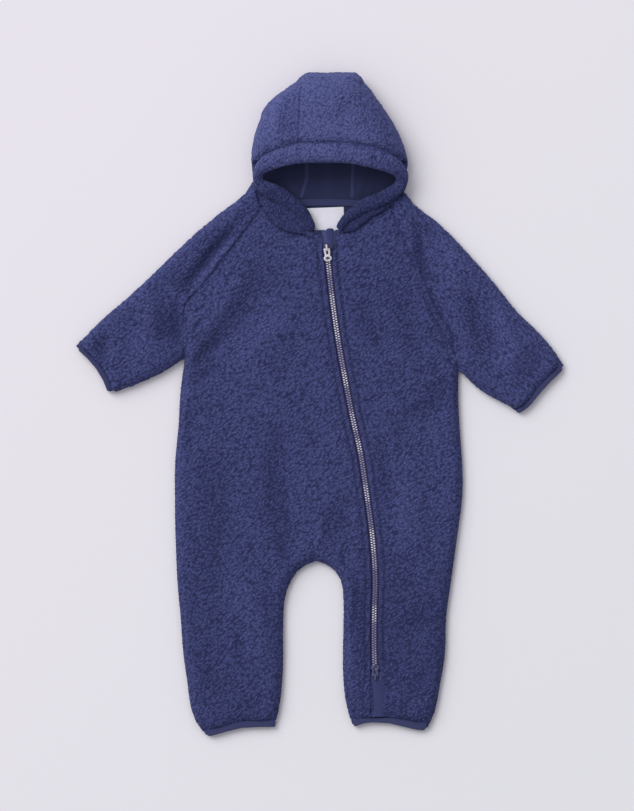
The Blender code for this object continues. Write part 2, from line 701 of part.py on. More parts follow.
class Outline:
    """A closed plan outline, counter-clockwise, made of edges that are folded or cut.

    Each edge is (line, kind). A folded edge is where the cloth turns from the upper layer to the
    layer on the floor. At a cut edge it ends at a seam, and stands back half a seam's gap.
    """

    def __init__(self, edges):
        points, kinds = [], []
        for line, kind in edges:
            points += [tuple(p) for p in line[:-1]]
            kinds += [kind] * (len(line) - 1)
        self.points = np.array(points)
        self.after = kinds
        self.before = [kinds[-1]] + kinds[:-1]
        ahead = np.roll(self.points, -1, 0) - self.points
        self.ahead = ahead / np.linalg.norm(ahead, axis=1)[:, None]
        self.behind = np.roll(self.ahead, 1, 0)
        self.points = self.points + self.mitre() * SEAM_GAP / 2

    def mitre(self):
        """Vector for each point that moves both its edges inwards by one."""
        first, second = turned_left(self.behind), turned_left(self.ahead)
        return (first + second) / (1 + (first * second).sum(1))[:, None].clip(0.4)

    def on_fold(self):
        return np.array([a == "fold" or b == "fold" for a, b in zip(self.before, self.after)])

    def inward(self):
        """Plan direction in which the inner face stands back from each point of the outline."""
        result = np.zeros((len(self.points), 2))
        for k, (before, after) in enumerate(zip(self.before, self.after)):
            if before == "fold" and after == "fold":
                normal = turned_left(self.behind[k:k + 1]) + turned_left(self.ahead[k:k + 1])
                result[k] = normal[0] / np.linalg.norm(normal[0])
            elif before == "fold":
                result[k] = self.ahead[k]
            elif after == "fold":
                result[k] = -self.behind[k]
        return result

    def contains(self, points):
        """Even-odd test for each point."""
        x, y = points[:, 0][:, None], points[:, 1][:, None]
        x1, y1 = self.points[:, 0], self.points[:, 1]
        x2, y2 = np.roll(x1, -1), np.roll(y1, -1)
        crosses = (y1 > y) != (y2 > y)
        slope = (x2 - x1) / np.where(y2 == y1, 1e-9, y2 - y1)
        return (crosses & (x < x1 + (y - y1) * slope)).sum(1) % 2 == 1


def rings(folds, distances, step):
    """Rows of points beside the folded edges, on both sides of them."""
    rows = []
    for line in folds:
        spaced = resample(line, step)
        for distance in distances:
            rows += [offset_line(spaced, distance), offset_line(spaced, -distance)]
    return np.vstack(rows)


def zip_rows():
    """Points along the welts, at the turned edge's roll, the groove and beyond it."""
    rows = []
    for edge, side in ((left_zip_edge(), 1), (right_zip_edge(), -1)):
        spaced = resample(edge, EDGE_STEP * 1.3)
        rows += [offset_line(spaced, side * off)
                 for off in (LIP_REACH, WELT_GROOVE, WELT_GROOVE + GROOVE_REACH + 0.4)]
    return np.vstack(rows)


def fold_points():
    """Points along the middle and the flanks of each fold."""
    rows = []
    for fold in FOLDS:
        line = resample(fold_line(fold)[0], fold.reach * 1.3)
        rows.append(line)
        rows += [offset_line(line, side * fold.reach) for side in (-1.1, 1.1)]
    return np.vstack(rows)


def grid(outline, step):
    """A honeycomb of points over the outline's box."""
    low, high = outline.points.min(0), outline.points.max(0)
    rows = []
    for number, y in enumerate(np.arange(low[1], high[1], step * 0.866)):
        x = np.arange(low[0] + (number % 2) * step / 2, high[0], step)
        rows.append(np.stack([x, np.full(len(x), y)], 1))
    return np.vstack(rows)


def thin_out(kept, candidates, outline, room):
    """Add the candidates that lie inside the outline with enough room to all that is kept."""
    inside = candidates[outline.contains(candidates)]
    border = np.vstack([outline.points, outline.points[:1]])
    distance, _ = nearest(inside, [border])
    for point in inside[distance > min(room, 1.7)]:
        if np.linalg.norm(kept - point, axis=1).min() > room:
            kept = np.vstack([kept, point])
    return kept


def triangulate(outline, groups):
    """Plan points and triangles of an outline: its own points come first, in order."""
    kept = outline.points
    for candidates, room in groups:
        kept = thin_out(kept, candidates, outline, room)
    count = len(outline.points)
    border = [(k, (k + 1) % count) for k in range(count)]
    result = delaunay_2d_cdt([tuple(p) for p in kept], border, [list(range(count))], 1, 1e-4)
    vertices, faces = np.array([tuple(v) for v in result[0]]), [tuple(f) for f in result[2]]
    if len(vertices) != len(kept):
        raise ValueError("the outline crosses itself")
    return vertices, faces


class Layer:
    """Outer and inner face of one sheet of cloth over a triangulated outline.

    Beside a folded edge both faces follow quarter ellipses about the same line, so the wall keeps
    its thickness round the turn. `under` is the layer that lies on the floor.
    """

    def __init__(self, outline, groups, form, under=False):
        self.outline = outline
        self.plan, self.faces = triangulate(outline, groups)
        self.under = under
        count = len(outline.points)
        distance, away = nearest(self.plan, form.folds)
        on_fold = np.zeros(len(self.plan), bool)
        on_fold[:count] = outline.on_fold()
        distance[on_fold] = 0.0
        width = form.under_round(self.plan) if under else form.top_round(self.plan)
        lean = np.clip(1 - distance / width, 0.0, 1.0)
        rise = np.sqrt(1 - lean ** 2)
        turn = form.turn(self.plan)
        shift = away * (FLEECE * lean)[:, None]
        shift[:count] = self.border_shift(away[:count], lean[:count])
        if under:
            outer_z = turn * (1 - rise)
            inner_z = turn - (turn - FLEECE) * rise
        else:
            relief = form.relief(self.plan, distance)
            span = form.top(self.plan) - turn
            outer_z = turn + span * rise + (relief + form.outer_relief(self.plan)) * rise
            inner_z = turn + (span - FLEECE) * rise + relief * rise
        self.outer = np.column_stack([self.plan, outer_z])
        self.inner = np.column_stack([self.plan + shift, inner_z])

    def border_shift(self, away, lean):
        """Along a cut edge the inner face stands back along the cut, never across it."""
        outline = self.outline
        shift = outline.inward() * FLEECE
        for k, (before, after) in enumerate(zip(outline.before, outline.after)):
            if before == "cut" and after == "cut" and lean[k] > 0:
                along = outline.ahead[k] + outline.behind[k]
                along /= np.linalg.norm(along)
                share = float(along @ away[k])
                side = math.copysign(max(abs(share), 0.6), share)
                shift[k] = along * FLEECE * lean[k] / side
        return shift


def rim(layer, outer, inner, kinds):
    """Quads that close a layer along the outline edges of the given kinds."""
    count = len(layer.outline.points)
    quads = []
    for k in range(count):
        if layer.outline.after[k] in kinds:
            n = (k + 1) % count
            quad = [inner[k], inner[n], outer[n], outer[k]]
            quads.append(quad[::-1] if layer.under else quad)
    return quads


def sheet(layer):
    """Vertices and faces of one sheet, closed all round its outline."""
    size = len(layer.plan)
    vertices = np.vstack([layer.outer, layer.inner])
    outer_faces = [tuple(f) for f in layer.faces]
    inner_faces = [tuple(i + size for i in reversed(f)) for f in layer.faces]
    if layer.under:
        outer_faces = [f[::-1] for f in outer_faces]
        inner_faces = [f[::-1] for f in inner_faces]
    border = range(len(layer.outline.points))
    quads = rim(layer, list(border), [i + size for i in border], ("cut", "fold"))
    return vertices, outer_faces + inner_faces + quads


def wrapped(over, beneath):
    """Upper and lower layers as one wall, joined along the folded edges that they share.

    Folded points of one layer that lie at a folded point of the other become one point.
    """
    layers = [beneath, *over]
    vertices, faces, lookup = [], [], {}

    def place(point, key):
        if key is None:
            vertices.append(point)
            return len(vertices) - 1
        if key not in lookup:
            vertices.append(point)
            lookup[key] = len(vertices) - 1
        return lookup[key]

    shared = shared_folds(over, beneath)
    for layer in layers:
        keys = [shared.get((id(layer), k)) for k in range(len(layer.plan))]
        outer = [place(p, None if key is None else ("outer", key))
                 for p, key in zip(layer.outer, keys)]
        inner = [place(p, None if key is None else ("inner", key))
                 for p, key in zip(layer.inner, keys)]
        flip = -1 if layer.under else 1
        faces += [tuple(outer[i] for i in f)[::flip] for f in layer.faces]
        faces += [tuple(inner[i] for i in f)[::-flip] for f in layer.faces]
        faces += rim(layer, outer, inner, ("cut",))
        faces += open_folds(layer, outer, inner, keys)
    return np.array(vertices), faces


def shared_folds(over, beneath):
    """Key for each folded outline point of the upper layers and its match beneath."""
    shared = {}
    folded = beneath.outline.on_fold()
    for layer in over:
        for k in np.flatnonzero(layer.outline.on_fold()):
            gap = np.linalg.norm(beneath.outline.points - layer.outline.points[k], axis=1)
            gap[~folded] = 1e9
            match = int(gap.argmin())
            if gap[match] < 1.0:
                shared[(id(layer), int(k))] = match
                shared[(id(beneath), match)] = match
    return shared


def open_folds(layer, outer, inner, keys):
    """Rims along folded edges that no other layer joins, where another piece sits on them."""
    count = len(layer.outline.points)
    quads = []
    for k in range(count):
        n = (k + 1) % count
        if layer.outline.after[k] == "fold" and (keys[k] is None or keys[n] is None):
            quad = [inner[k], inner[n], outer[n], outer[k]]
            quads.append(quad[::-1] if layer.under else quad)
    return quads


# ---- plain solids ---------------------------------------------------------------------------

def loft(sections, closed_ends=True, ring=False):
    """Join sections of equally many points. A ring joins its last section to the first."""
    count = len(sections[0])
    vertices = np.vstack(sections)
    faces = []
    last = len(sections) if ring else len(sections) - 1
    for s in range(last):
        a, b = s * count, ((s + 1) % len(sections)) * count
        for k in range(count):
            n = (k + 1) % count
            faces.append((a + k, a + n, b + n, b + k))
    if closed_ends and not ring:
        faces.append(tuple(range(count))[::-1])
        faces.append(tuple(range(len(vertices) - count, len(vertices))))
    return vertices, faces


def ribbon(middle, half_width, base, top):
    """A flat strip along a plan line; half width, base and top may vary along it."""
    sections = []
    left = offset_line(middle, half_width)
    right = offset_line(middle, -np.asarray(half_width, float))
    base = np.broadcast_to(base, len(middle))
    top = np.broadcast_to(top, len(middle))
    for l, r, low, high in zip(left, right, base, top):
        sections.append(np.array([(*r, low), (*l, low), (*l, high), (*r, high)]))
    return loft(sections)


def binding(rows):
    """A folded binding round a flattened tube end: a ring of sections from seam to free edge."""
    half = BINDING_HEIGHT / 2
    seam = resample(smooth(points_of(rows, "seam_"), 1.0), 1.0)
    edge = resample(smooth(points_of(rows, "edge_"), 1.0), 1.0)
    width = np.linalg.norm(seam[-1] - seam[0])
    sections = []
    for k in range(BINDING_SECTIONS):
        across, up = squared(2 * math.pi * k / BINDING_SECTIONS, 0.22)
        outer = binding_side(seam, edge, 0.5 - 0.5 * across, half * (1 + up))
        shrink = 1 - 2 * BINDING_WALL / width
        low = half + (half - BINDING_WALL) * up
        inner = binding_side(seam, edge, 0.5 - 0.5 * across * shrink, low)
        sections.append(binding_section(outer, inner))
    return loft(sections, ring=True)


def squared(angle, power):
    """A point on a rounded square of half size one."""
    c, s = math.cos(angle), math.sin(angle)
    return (math.copysign(abs(c) ** (2 * power), c), math.copysign(abs(s) ** (2 * power), s))


def binding_side(seam, edge, share, height):
    """Seam point and edge point at a share of the way across, at a height."""
    places = []
    for line in (seam, edge):
        at = share * (len(line) - 1)
        k = min(int(at), len(line) - 2)
        plan = line[k] + (line[k + 1] - line[k]) * (at - k)
        places.append(np.array([*plan, height]))
    gap = (places[1] - places[0]) * 2 * SEAM_GAP / np.linalg.norm(places[1] - places[0])
    return places[0] + gap, places[1]


def binding_section(outer, inner):
    """Section of a binding: two faces, and a rounded free edge between them."""
    (seam_out, edge_out), (seam_in, edge_in) = outer, inner
    tip = (edge_out + edge_in) / 2
    out_near = seam_out + (edge_out - seam_out) * 0.86
    in_near = seam_in + (edge_in - seam_in) * 0.86
    return np.array([seam_out, out_near, tip, in_near, seam_in])


def roll(rows, step):
    """The hood's casing: flattened round sections along its path, upright where it turns."""
    plan = points_of(rows)
    sizes = np.array([[row.width, row.thick] for row in rows])
    path = smooth(np.hstack([plan, sizes]), 2.0)
    lengths = np.linalg.norm(np.diff(path[:, :2], axis=0), axis=1)
    travelled = np.concatenate([[0.0], np.cumsum(lengths)])
    count = int(round(travelled[-1] / step)) + 1
    wanted = np.linspace(0.0, travelled[-1], count)
    path = np.stack([np.interp(wanted, travelled, path[:, k]) for k in range(4)], 1)
    line, width, thick = path[:, :2], path[:, 2], path[:, 3]
    middle = casing_height(line)
    heading = directions(np.column_stack([line, middle]))
    sections = []
    for k in range(count):
        across = np.cross([0.0, 0.0, 1.0], heading[k])
        across /= np.linalg.norm(across)
        up = np.cross(heading[k], across)
        centre = np.array([*line[k], middle[k]])
        section = []
        for n in range(CASING_SIDES):
            a, b = squared(2 * math.pi * n / CASING_SIDES, 0.42)
            section.append(centre + across * a * width[k] / 2 + up * b * thick[k] / 2)
        sections.append(np.array(section))
    return loft(sections)


def casing_height(line):
    """Height of the casing's middle: a little under the hood's outer face, at most at its edge."""
    form = Hood()
    distance, _ = nearest(line, form.folds)
    lean = np.clip(1 - distance / form.top_round(line), 0.0, 1.0)
    top = form.turn(line) + (form.top(line) - form.turn(line)) * np.sqrt(1 - lean ** 2)
    return np.maximum(top - CASING_BELOW, form.turn(line) + CASING_OVER_TURN)


# ---- objects --------------------------------------------------------------------------------

def material(name, colour, roughness, metallic=0.0):
    made = bpy.data.materials.get(name) or bpy.data.materials.new(name)
    made.use_nodes = True
    shader = made.node_tree.nodes["Principled BSDF"]
    shader.inputs["Base Color"].default_value = (*colour, 1.0)
    shader.inputs["Roughness"].default_value = roughness
    shader.inputs["Metallic"].default_value = metallic
    return made


def solid(name, shape, finish):
    """One named object from points in millimetres and faces."""
    vertices, faces = shape
    points = [tuple(np.asarray(v) * MM) for v in vertices]
    mesh = bpy.data.meshes.new(name)
    mesh.from_pydata(points, [], [tuple(map(int, f)) for f in faces])
    mesh.materials.append(finish)
    body = bpy.data.objects.new(name, mesh)
    bpy.context.scene.collection.objects.link(body)
    tidy = bmesh.new()
    tidy.from_mesh(mesh)
    bmesh.ops.triangulate(tidy, faces=tidy.faces[:])
    tidy.to_mesh(mesh)
    tidy.free()
    mesh.shade_smooth()
    mesh.set_sharp_from_angle(angle=math.radians(40))
    return body


def clear_scene():
    for thing in list(bpy.data.objects):
        bpy.data.objects.remove(thing, do_unlink=True)


# ---- cut pieces of cloth --------------------------------------------------------------------

def body_groups(step, with_zip=True):
    """Point groups for body pieces: edge rows, welt rows, folds, then an even grid."""
    folds = list(BODY_FOLDS.values())
    groups = [(rings(folds, (2.4, 7.0, 14.0), EDGE_STEP), 4.0)]
    if with_zip:
        groups.append((zip_rows(), 2.2))
    return groups + [(fold_points(), step * 0.45)]


def with_grid(groups, outline, step):
    return groups + [(grid(outline, step), step * 0.62)]


def between(line, low, high):
    """The stretch of a line whose X lies between two values."""
    x, y = line.T
    inside = line[(x > low + 1e-6) & (x < high - 1e-6)]
    first, last = [low, np.interp(low, x, y)], [high, np.interp(high, x, y)]
    return resample(np.vstack([first, inside, last]), EDGE_STEP)


def front_right_outline():
    hem = between(HEM_LEFT, HEM_LEFT[0, 0], FOOT_STRIP_RIGHT_X)
    zip_up = resample(right_zip_edge(), EDGE_STEP * 1.25)[::-1]
    strip = resample(np.vstack([hem[-1], zip_up[0]]), EDGE_STEP)
    neck = np.vstack([zip_up[-1], NECK_RIGHT[::-1]])
    return Outline([(RAGLAN_RIGHT, "cut"), (SIDE_RIGHT, "fold"), (HEM_RIGHT, "cut"),
                    (INSEAM, "fold"), (hem, "cut"), (strip, "cut"), (zip_up, "cut"),
                    (neck, "cut")])


def front_left_outline():
    hem = between(HEM_LEFT, FOOT_STRIP_LEFT_X, HEM_LEFT[-1, 0])
    zip_down = resample(left_zip_edge(), EDGE_STEP * 1.25)
    strip = resample(np.vstack([zip_down[-1], hem[0]]), EDGE_STEP)
    return Outline([(zip_down, "cut"), (strip, "cut"), (hem, "cut"), (SIDE_LEFT[::-1], "fold"),
                    (RAGLAN_LEFT[::-1], "cut"), (NECK_LEFT, "cut")])


def back_outline():
    hem_left = resample(HEM_LEFT, EDGE_STEP)
    return Outline([(RAGLAN_RIGHT, "cut"), (SIDE_RIGHT, "fold"), (HEM_RIGHT, "cut"),
                    (INSEAM, "fold"), (hem_left, "cut"), (SIDE_LEFT[::-1], "fold"),
                    (RAGLAN_LEFT[::-1], "cut"), (BACK_NECK[::-1], "cut")])


def clear_of(line, place):
    """A line without its points that lie on top of a place."""
    return line[np.linalg.norm(line - place, axis=1) > 2.0]


def sleeve_outline(side):
    """Right or left sleeve, from the raglan seam round by armpit, wrist and shoulder."""
    under = BODY_FOLDS["sleeve_under_" + side]
    top = BODY_FOLDS["sleeve_top_" + side]
    if side == "right":
        neck = clear_of(split(HOOD_SIDE_RIGHT, top[-1])[0], top[-1])
        cuff = np.vstack([top[0], CUFF_RIGHT[1:-1], [CUFF_CORNER], under[0]])
        return Outline([(top[::-1], "fold"), (cuff, "cut"), (under, "fold"),
                        (RAGLAN_RIGHT[::-1], "cut"), (np.vstack([neck, top[-1]]), "cut")])
    neck = clear_of(split(HOOD_SIDE_LEFT, top[-1])[1], top[-1])
    cuff = np.vstack([under[0], CUFF_LEFT[1:-1], top[0]])
    return Outline([(RAGLAN_LEFT, "cut"), (under[::-1], "fold"), (cuff, "cut"), (top, "fold"),
                    (np.vstack([top[-1], neck]), "cut")])


def body_pieces(fleece):
    """Back and two fronts, each one sheet; side seams and inseams meet at mid height."""
    outline = front_right_outline()
    groups = with_grid(body_groups(GRID_STEP), outline, GRID_STEP)
    upper = Body(SEAM_HEIGHT + SEAM_GAP / 2)
    solid("front_right", sheet(Layer(outline, groups, upper)), fleece)
    outline = front_left_outline()
    groups = with_grid(body_groups(GRID_STEP), outline, GRID_STEP)
    solid("front_left", sheet(Layer(outline, groups, upper)), fleece)
    outline = back_outline()
    lower = Body(SEAM_HEIGHT - SEAM_GAP / 2)
    edge_rows = rings([SIDE_RIGHT, SIDE_LEFT, INSEAM], (1.8, 9.0), EDGE_STEP)
    groups = [(edge_rows, 4.0), (grid(outline, BACK_STEP), BACK_STEP * 0.62)]
    solid("back", sheet(Layer(outline, groups, lower, under=True)), fleece)


def sleeve_piece(side, fleece):
    outline = sleeve_outline(side)
    form = Body(SEAM_HEIGHT)
    upper = Layer(outline, with_grid(body_groups(GRID_STEP, False), outline, GRID_STEP), form)
    edges = [line for name, line in BODY_FOLDS.items() if name.startswith("sleeve")]
    groups = [(rings(edges, (1.8, 9.0), EDGE_STEP), 4.0), (grid(outline, 26.0), 16.0)]
    lower = Layer(outline, groups, form, under=True)
    solid("sleeve_" + side, wrapped([upper], lower), fleece)


# ---- hood -----------------------------------------------------------------------------------

def hood_layer(edges, under=False):
    outline = Outline(edges)
    if under:
        groups = [(rings(list(HOOD_FOLDS.values()), (2.4, 9.0, 18.0), HOOD_STEP), 4.5)]
    else:
        groups = [(rings(list(HOOD_FOLDS.values()), (1.6, 5.5, 14.0, 28.0), HOOD_STEP), 4.0)]
    groups.append((grid(outline, HOOD_STEP * 1.1), HOOD_STEP * 0.6))
    return Layer(outline, groups, Hood(), under)


def cut_line(rows, step=HOOD_STEP * 0.9):
    return smooth(points_of(rows), step)


def split(line, *places):
    """Cut a line into stretches at its points nearest to the places."""
    marks = [int(np.argmin(np.linalg.norm(line - place, axis=1))) for place in places]
    marks = [0, *marks, len(line) - 1]
    return [line[a:b + 1] for a, b in zip(marks, marks[1:])]


def start_at(line, point):
    return np.vstack([point, line[1:]])


def end_at(line, point):
    return np.vstack([line[:-1], point])


def hood_right(fleece):
    """Right side of the hood: crown and collar above, one layer beneath, one wall."""
    low, _, high = split(HOOD_SIDE_RIGHT, CASING_RIGHT_CORNER, CASING_RIGHT_HIGH)
    seam, inside = cut_line(HOOD_SEAM_RIGHT), cut_line(HOOD_SEAM_RIGHT_IN)
    casing = start_at(cut_line(CASING_SEAM_RIGHT), high[0])
    crown = hood_layer([(casing, "cut"), (seam, "cut"), (high[::-1], "fold")])
    lapel = start_at(cut_line(LAPEL_SEAM_RIGHT), low[-1])
    neck = end_at(NECK_RIGHT[::-1], low[0])
    collar = hood_layer([(low[::-1], "fold"), (neck[::-1], "cut"),
                         (np.vstack([neck[0], lapel[-1]]), "cut"), (lapel[::-1], "cut")])
    back = end_at(NECK_SPLIT[0], inside[-1])
    floor = hood_layer([(HOOD_SIDE_RIGHT[::-1], "fold"), (back, "cut"), (inside[::-1], "cut")],
                       under=True)
    solid("hood_side_right", wrapped([crown, collar], floor), fleece)


def hood_left(fleece):
    """Left side of the hood, built as the right one."""
    high, _, low = split(HOOD_SIDE_LEFT, CASING_LEFT_HIGH, CASING_LEFT_CORNER)
    seam, inside = cut_line(HOOD_SEAM_LEFT), cut_line(HOOD_SEAM_LEFT_IN)
    casing = end_at(cut_line(CASING_SEAM_LEFT), high[-1])
    crown = hood_layer([(casing, "cut"), (high[::-1], "fold"), (seam[::-1], "cut")])
    lapel = start_at(cut_line(LAPEL_SEAM_LEFT), low[0])
    neck = end_at(NECK_LEFT[::-1], low[-1])
    collar = hood_layer([(lapel, "cut"), (np.vstack([lapel[-1], neck[0]]), "cut"),
                         (neck, "cut"), (low[::-1], "fold")])
    back = start_at(NECK_SPLIT[2], inside[-1])
    floor = hood_layer([(inside, "cut"), (back, "cut"), (HOOD_SIDE_LEFT[::-1], "fold")],
                       under=True)
    solid("hood_side_left", wrapped([crown, collar], floor), fleece)


def hood_middle(fleece):
    """Centre panel: over the crown, round its top edge, and down to the back neck."""
    right, left = cut_line(HOOD_SEAM_RIGHT), cut_line(HOOD_SEAM_LEFT)
    crown = hood_layer([(cut_line(CASING_SEAM_CROWN), "cut"), (left, "cut"),
                        (HOOD_TOP[::-1], "fold"), (right[::-1], "cut")])
    in_right, in_left = cut_line(HOOD_SEAM_RIGHT_IN), cut_line(HOOD_SEAM_LEFT_IN)
    back = end_at(start_at(NECK_SPLIT[1], in_right[-1]), in_left[-1])
    floor = hood_layer([(back, "cut"), (in_left[::-1], "cut"), (HOOD_TOP[::-1], "fold"),
                        (in_right, "cut")], under=True)
    solid("hood_centre", wrapped([crown], floor), fleece)


# ---- trims ----------------------------------------------------------------------------------

def neck_trims():
    """Tape over the back neck seam, and the blank label that hangs from it."""
    tape = material("neck_tape", NAVY_SMOOTH, 0.8)
    base = FLEECE + TRIM_GAP
    line = smooth(points_of(NECK_TAPE), EDGE_STEP)
    solid("neck_tape", ribbon(line, NECK_TAPE_HALF, base, base + NECK_TAPE_THICK), tape)
    weave = material("label_weave", WHITE_WEAVE, 0.75)
    middle = smooth(points_of(LABEL), EDGE_STEP / 2)
    solid("label", ribbon(middle, LABEL_HALF, base, base + LABEL_THICK), weave)


def zip_guard():
    """Rounded jersey tab that covers the zip's top end, tapering to a tip beside the slider."""
    arc = [(math.cos(a), math.sin(a)) for a in np.linspace(0.0, math.pi, 7)]
    shoulder = GUARD_BASE + GUARD_SKIRT
    sections = []
    for row in GUARD:
        foot = [(row.x + side * row.half, row.y, GUARD_BASE) for side in (-1, 1)]
        top = [(row.x + c * row.half, row.y, shoulder + GUARD_CROWN * s) for c, s in arc]
        sections.append(np.array(foot + top))
    solid("zip_guard", loft(sections), material("jersey", JERSEY_BLUE, 0.85))


def foot_strip():
    """Smooth strip between the lower slider and the ankle binding, between the two fronts."""
    left = np.vstack([left_zip_edge()[-3:], [(FOOT_STRIP_LEFT_X, STRIP_END_Y - 9.0)]])[::-1]
    right_x = FOOT_STRIP_RIGHT_X + STRIP_SIDE_RIGHT
    share = np.linspace(0.0, 1.0, 7)
    dome = TAPE_TOP + STRIP_BASE_RISE + STRIP_CROWN * np.sin(math.pi * share) ** 0.5
    sections = []
    for slant in np.linspace(0.0, 1.0, 7):
        y = FOOT_STRIP_TOP_Y + (STRIP_END_Y - FOOT_STRIP_TOP_Y) * slant
        left_x = float(np.interp(y, left[:, 1], left[:, 0])) - STRIP_SIDE_LEFT
        xs = right_x + (left_x - right_x) * share
        hem_y = np.interp(xs, HEM_LEFT[:, 0], HEM_LEFT[:, 1])
        ys = y + (hem_y + STRIP_OVER_HEM - STRIP_END_Y) * slant
        top = list(zip(xs[::-1], ys[::-1], dome[::-1]))
        base = [(xs[0], ys[0], TAPE_TOP), (xs[-1], ys[-1], TAPE_TOP)]
        sections.append(np.array(base + top))
    solid("zip_foot_strip", loft(sections), material("jersey", JERSEY_BLUE, 0.85))


def zip_parts():
    """Two tapes with the chain lying along their meeting edges."""
    weave = material("zip_tape", TAPE_NAVY, 0.8)
    tape = resample(zip_between(TAPE_END_FOOT, TAPE_END_TOP), 20.0)
    for name, side in (("zip_tape_left", 1), ("zip_tape_right", -1)):
        centre = offset_line(tape, side * (TAPE_WIDTH + SEAM_GAP) / 2)
        half = (TAPE_WIDTH - SEAM_GAP) / 2
        solid(name, ribbon(centre, half, TAPE_BASE, TAPE_TOP), weave)
    chain = resample(zip_between(CHAIN_END_FOOT, CHAIN_END_TOP), 16.0)
    coil = material("zip_coil", CHAIN_GREY, 0.45)
    solid("zip_chain", ribbon(chain, CHAIN_WIDTH / 2, CHAIN_BASE, CHAIN_TOP), coil)


def box(low, high):
    """A box between two corners, as points and faces."""
    x1, y1, z1 = low
    x2, y2, z2 = high
    corners = [(x, y, z) for z in (z1, z2) for x, y in ((x1, y1), (x2, y1), (x2, y2), (x1, y2))]
    faces = [(3, 2, 1, 0), (4, 5, 6, 7), (0, 1, 5, 4), (1, 2, 6, 5), (2, 3, 7, 6), (3, 0, 4, 7)]
    return corners, faces


def extruded(sections, base, top):
    """A prism over a plan outline."""
    low = np.column_stack([sections, np.full(len(sections), base)])
    high = np.column_stack([sections, np.full(len(sections), top)])
    return loft([low, high])


def united(name, finish, steps, origin, turn):
    """One body from its first shape and what the steps add to it or cut from it.

    A step is (mode, shape). The body is then put at its origin and turned about +Z.
    """
    (_, first), *rest = steps
    main = solid(name, first, finish)
    for number, (mode, shape) in enumerate(rest):
        tool = solid(f"{name}_{number}", shape, finish)
        change = main.modifiers.new(tool.name, "BOOLEAN")
        change.operation = mode
        change.object = tool
        bpy.context.view_layer.update()
        seen = main.evaluated_get(bpy.context.evaluated_depsgraph_get())
        main.data = bpy.data.meshes.new_from_object(seen)
        main.modifiers.clear()
        bpy.data.objects.remove(tool, do_unlink=True)
    main.location = tuple(value * MM for value in origin)
    main.rotation_euler = (0.0, 0.0, turn)


def zip_place(y):
    """Point on the zip's middle at a height, and the heading of the zip there, downwards."""
    line = smooth(points_of(ZIP_LINE), 1.0)
    k = int(np.argmin(np.abs(line[:, 1] - y)))
    run = line[k + 4] - line[k - 4]
    return line[k], math.atan2(run[1], run[0])


def heading_of(heading, facing):
    return heading + (math.pi if facing == "up" else 0.0)


def slider(name, y, facing, finish):
    """A slider over the chain, with the bridge that its tab hangs on. Local -X is its nose."""
    place, heading = zip_place(y)
    half = SLIDER_WIDTH / 2
    tail, nose = SLIDER_LENGTH * 0.44, SLIDER_LENGTH * 0.56
    side = [(tail, half * 0.86), (tail - 0.8, half), (-nose * 0.3, half), (-nose, half * 0.62)]
    plan = side + [(x, -y) for x, y in side[::-1]]
    width = BRIDGE_WIDTH / 2
    body = extruded(np.array(plan), CHAIN_BASE, SLIDER_TOP)
    arch = box((-BRIDGE_NOSE, -width, SLIDER_TOP - 0.4), (BRIDGE_TAIL, width, BRIDGE_TOP))
    under = box((POST - BRIDGE_NOSE, -BRIDGE_WIDTH, SLIDER_TOP),
                (BRIDGE_TAIL - POST, BRIDGE_WIDTH, BRIDGE_UNDER))
    channel = box((-SLIDER_LENGTH, -SLIDER_CHANNEL / 2, CHAIN_BASE - 1),
                  (SLIDER_LENGTH, SLIDER_CHANNEL / 2, SLIDER_CEILING))
    steps = [("UNION", body), ("UNION", arch), ("DIFFERENCE", under), ("DIFFERENCE", channel)]
    united(name, finish, steps, (*place, 0.0), heading_of(heading, facing))


def oval(x, long, wide, sides):
    """Points round an oval about a place on the X axis, so long along X and so wide across it."""
    turns = np.linspace(0.0, 2 * math.pi, sides, endpoint=False)
    return np.stack([x + long / 2 * np.cos(turns), wide / 2 * np.sin(turns)], 1)


def pull_tab(name, y, facing, length, finish):
    """The tab: a bar under the bridge, two arms, a plate and an oval eye. Local +X points away."""
    place, heading = zip_place(y)
    eye = length - PULL_RING_LONG / 2
    shoulder, waist, thick = PULL_SHOULDER / 2, PULL_WAIST / 2, PULL_PLATE / 2
    side = [(-0.2, shoulder), (3.4, shoulder), (eye - 3.0, waist), (eye, waist)]
    plate = [(x, -y) for x, y in side] + side[::-1]
    ring = oval(eye, PULL_RING_LONG, PULL_RING, 24)
    hole = oval(eye, PULL_HOLE_LONG, PULL_HOLE, 18)
    bar = oval(0.0, PULL_BAR, PULL_BAR, 12)
    ends = [np.array([(x, across, z) for x, z in bar]) for across in (shoulder, -shoulder)]
    slot = box((-1.0, -PULL_SLOT / 2, -2 * thick), (PULL_SLOT_END, PULL_SLOT / 2, 2 * thick))
    steps = [("UNION", extruded(np.array(plate), -thick, thick)),
             ("UNION", extruded(ring, -thick, thick)),
             ("DIFFERENCE", slot),
             ("DIFFERENCE", extruded(hole, -2 * thick, 2 * thick)),
             ("UNION", loft(ends))]
    united(name, finish, steps, (*place, PULL_AXIS), heading_of(heading, facing))


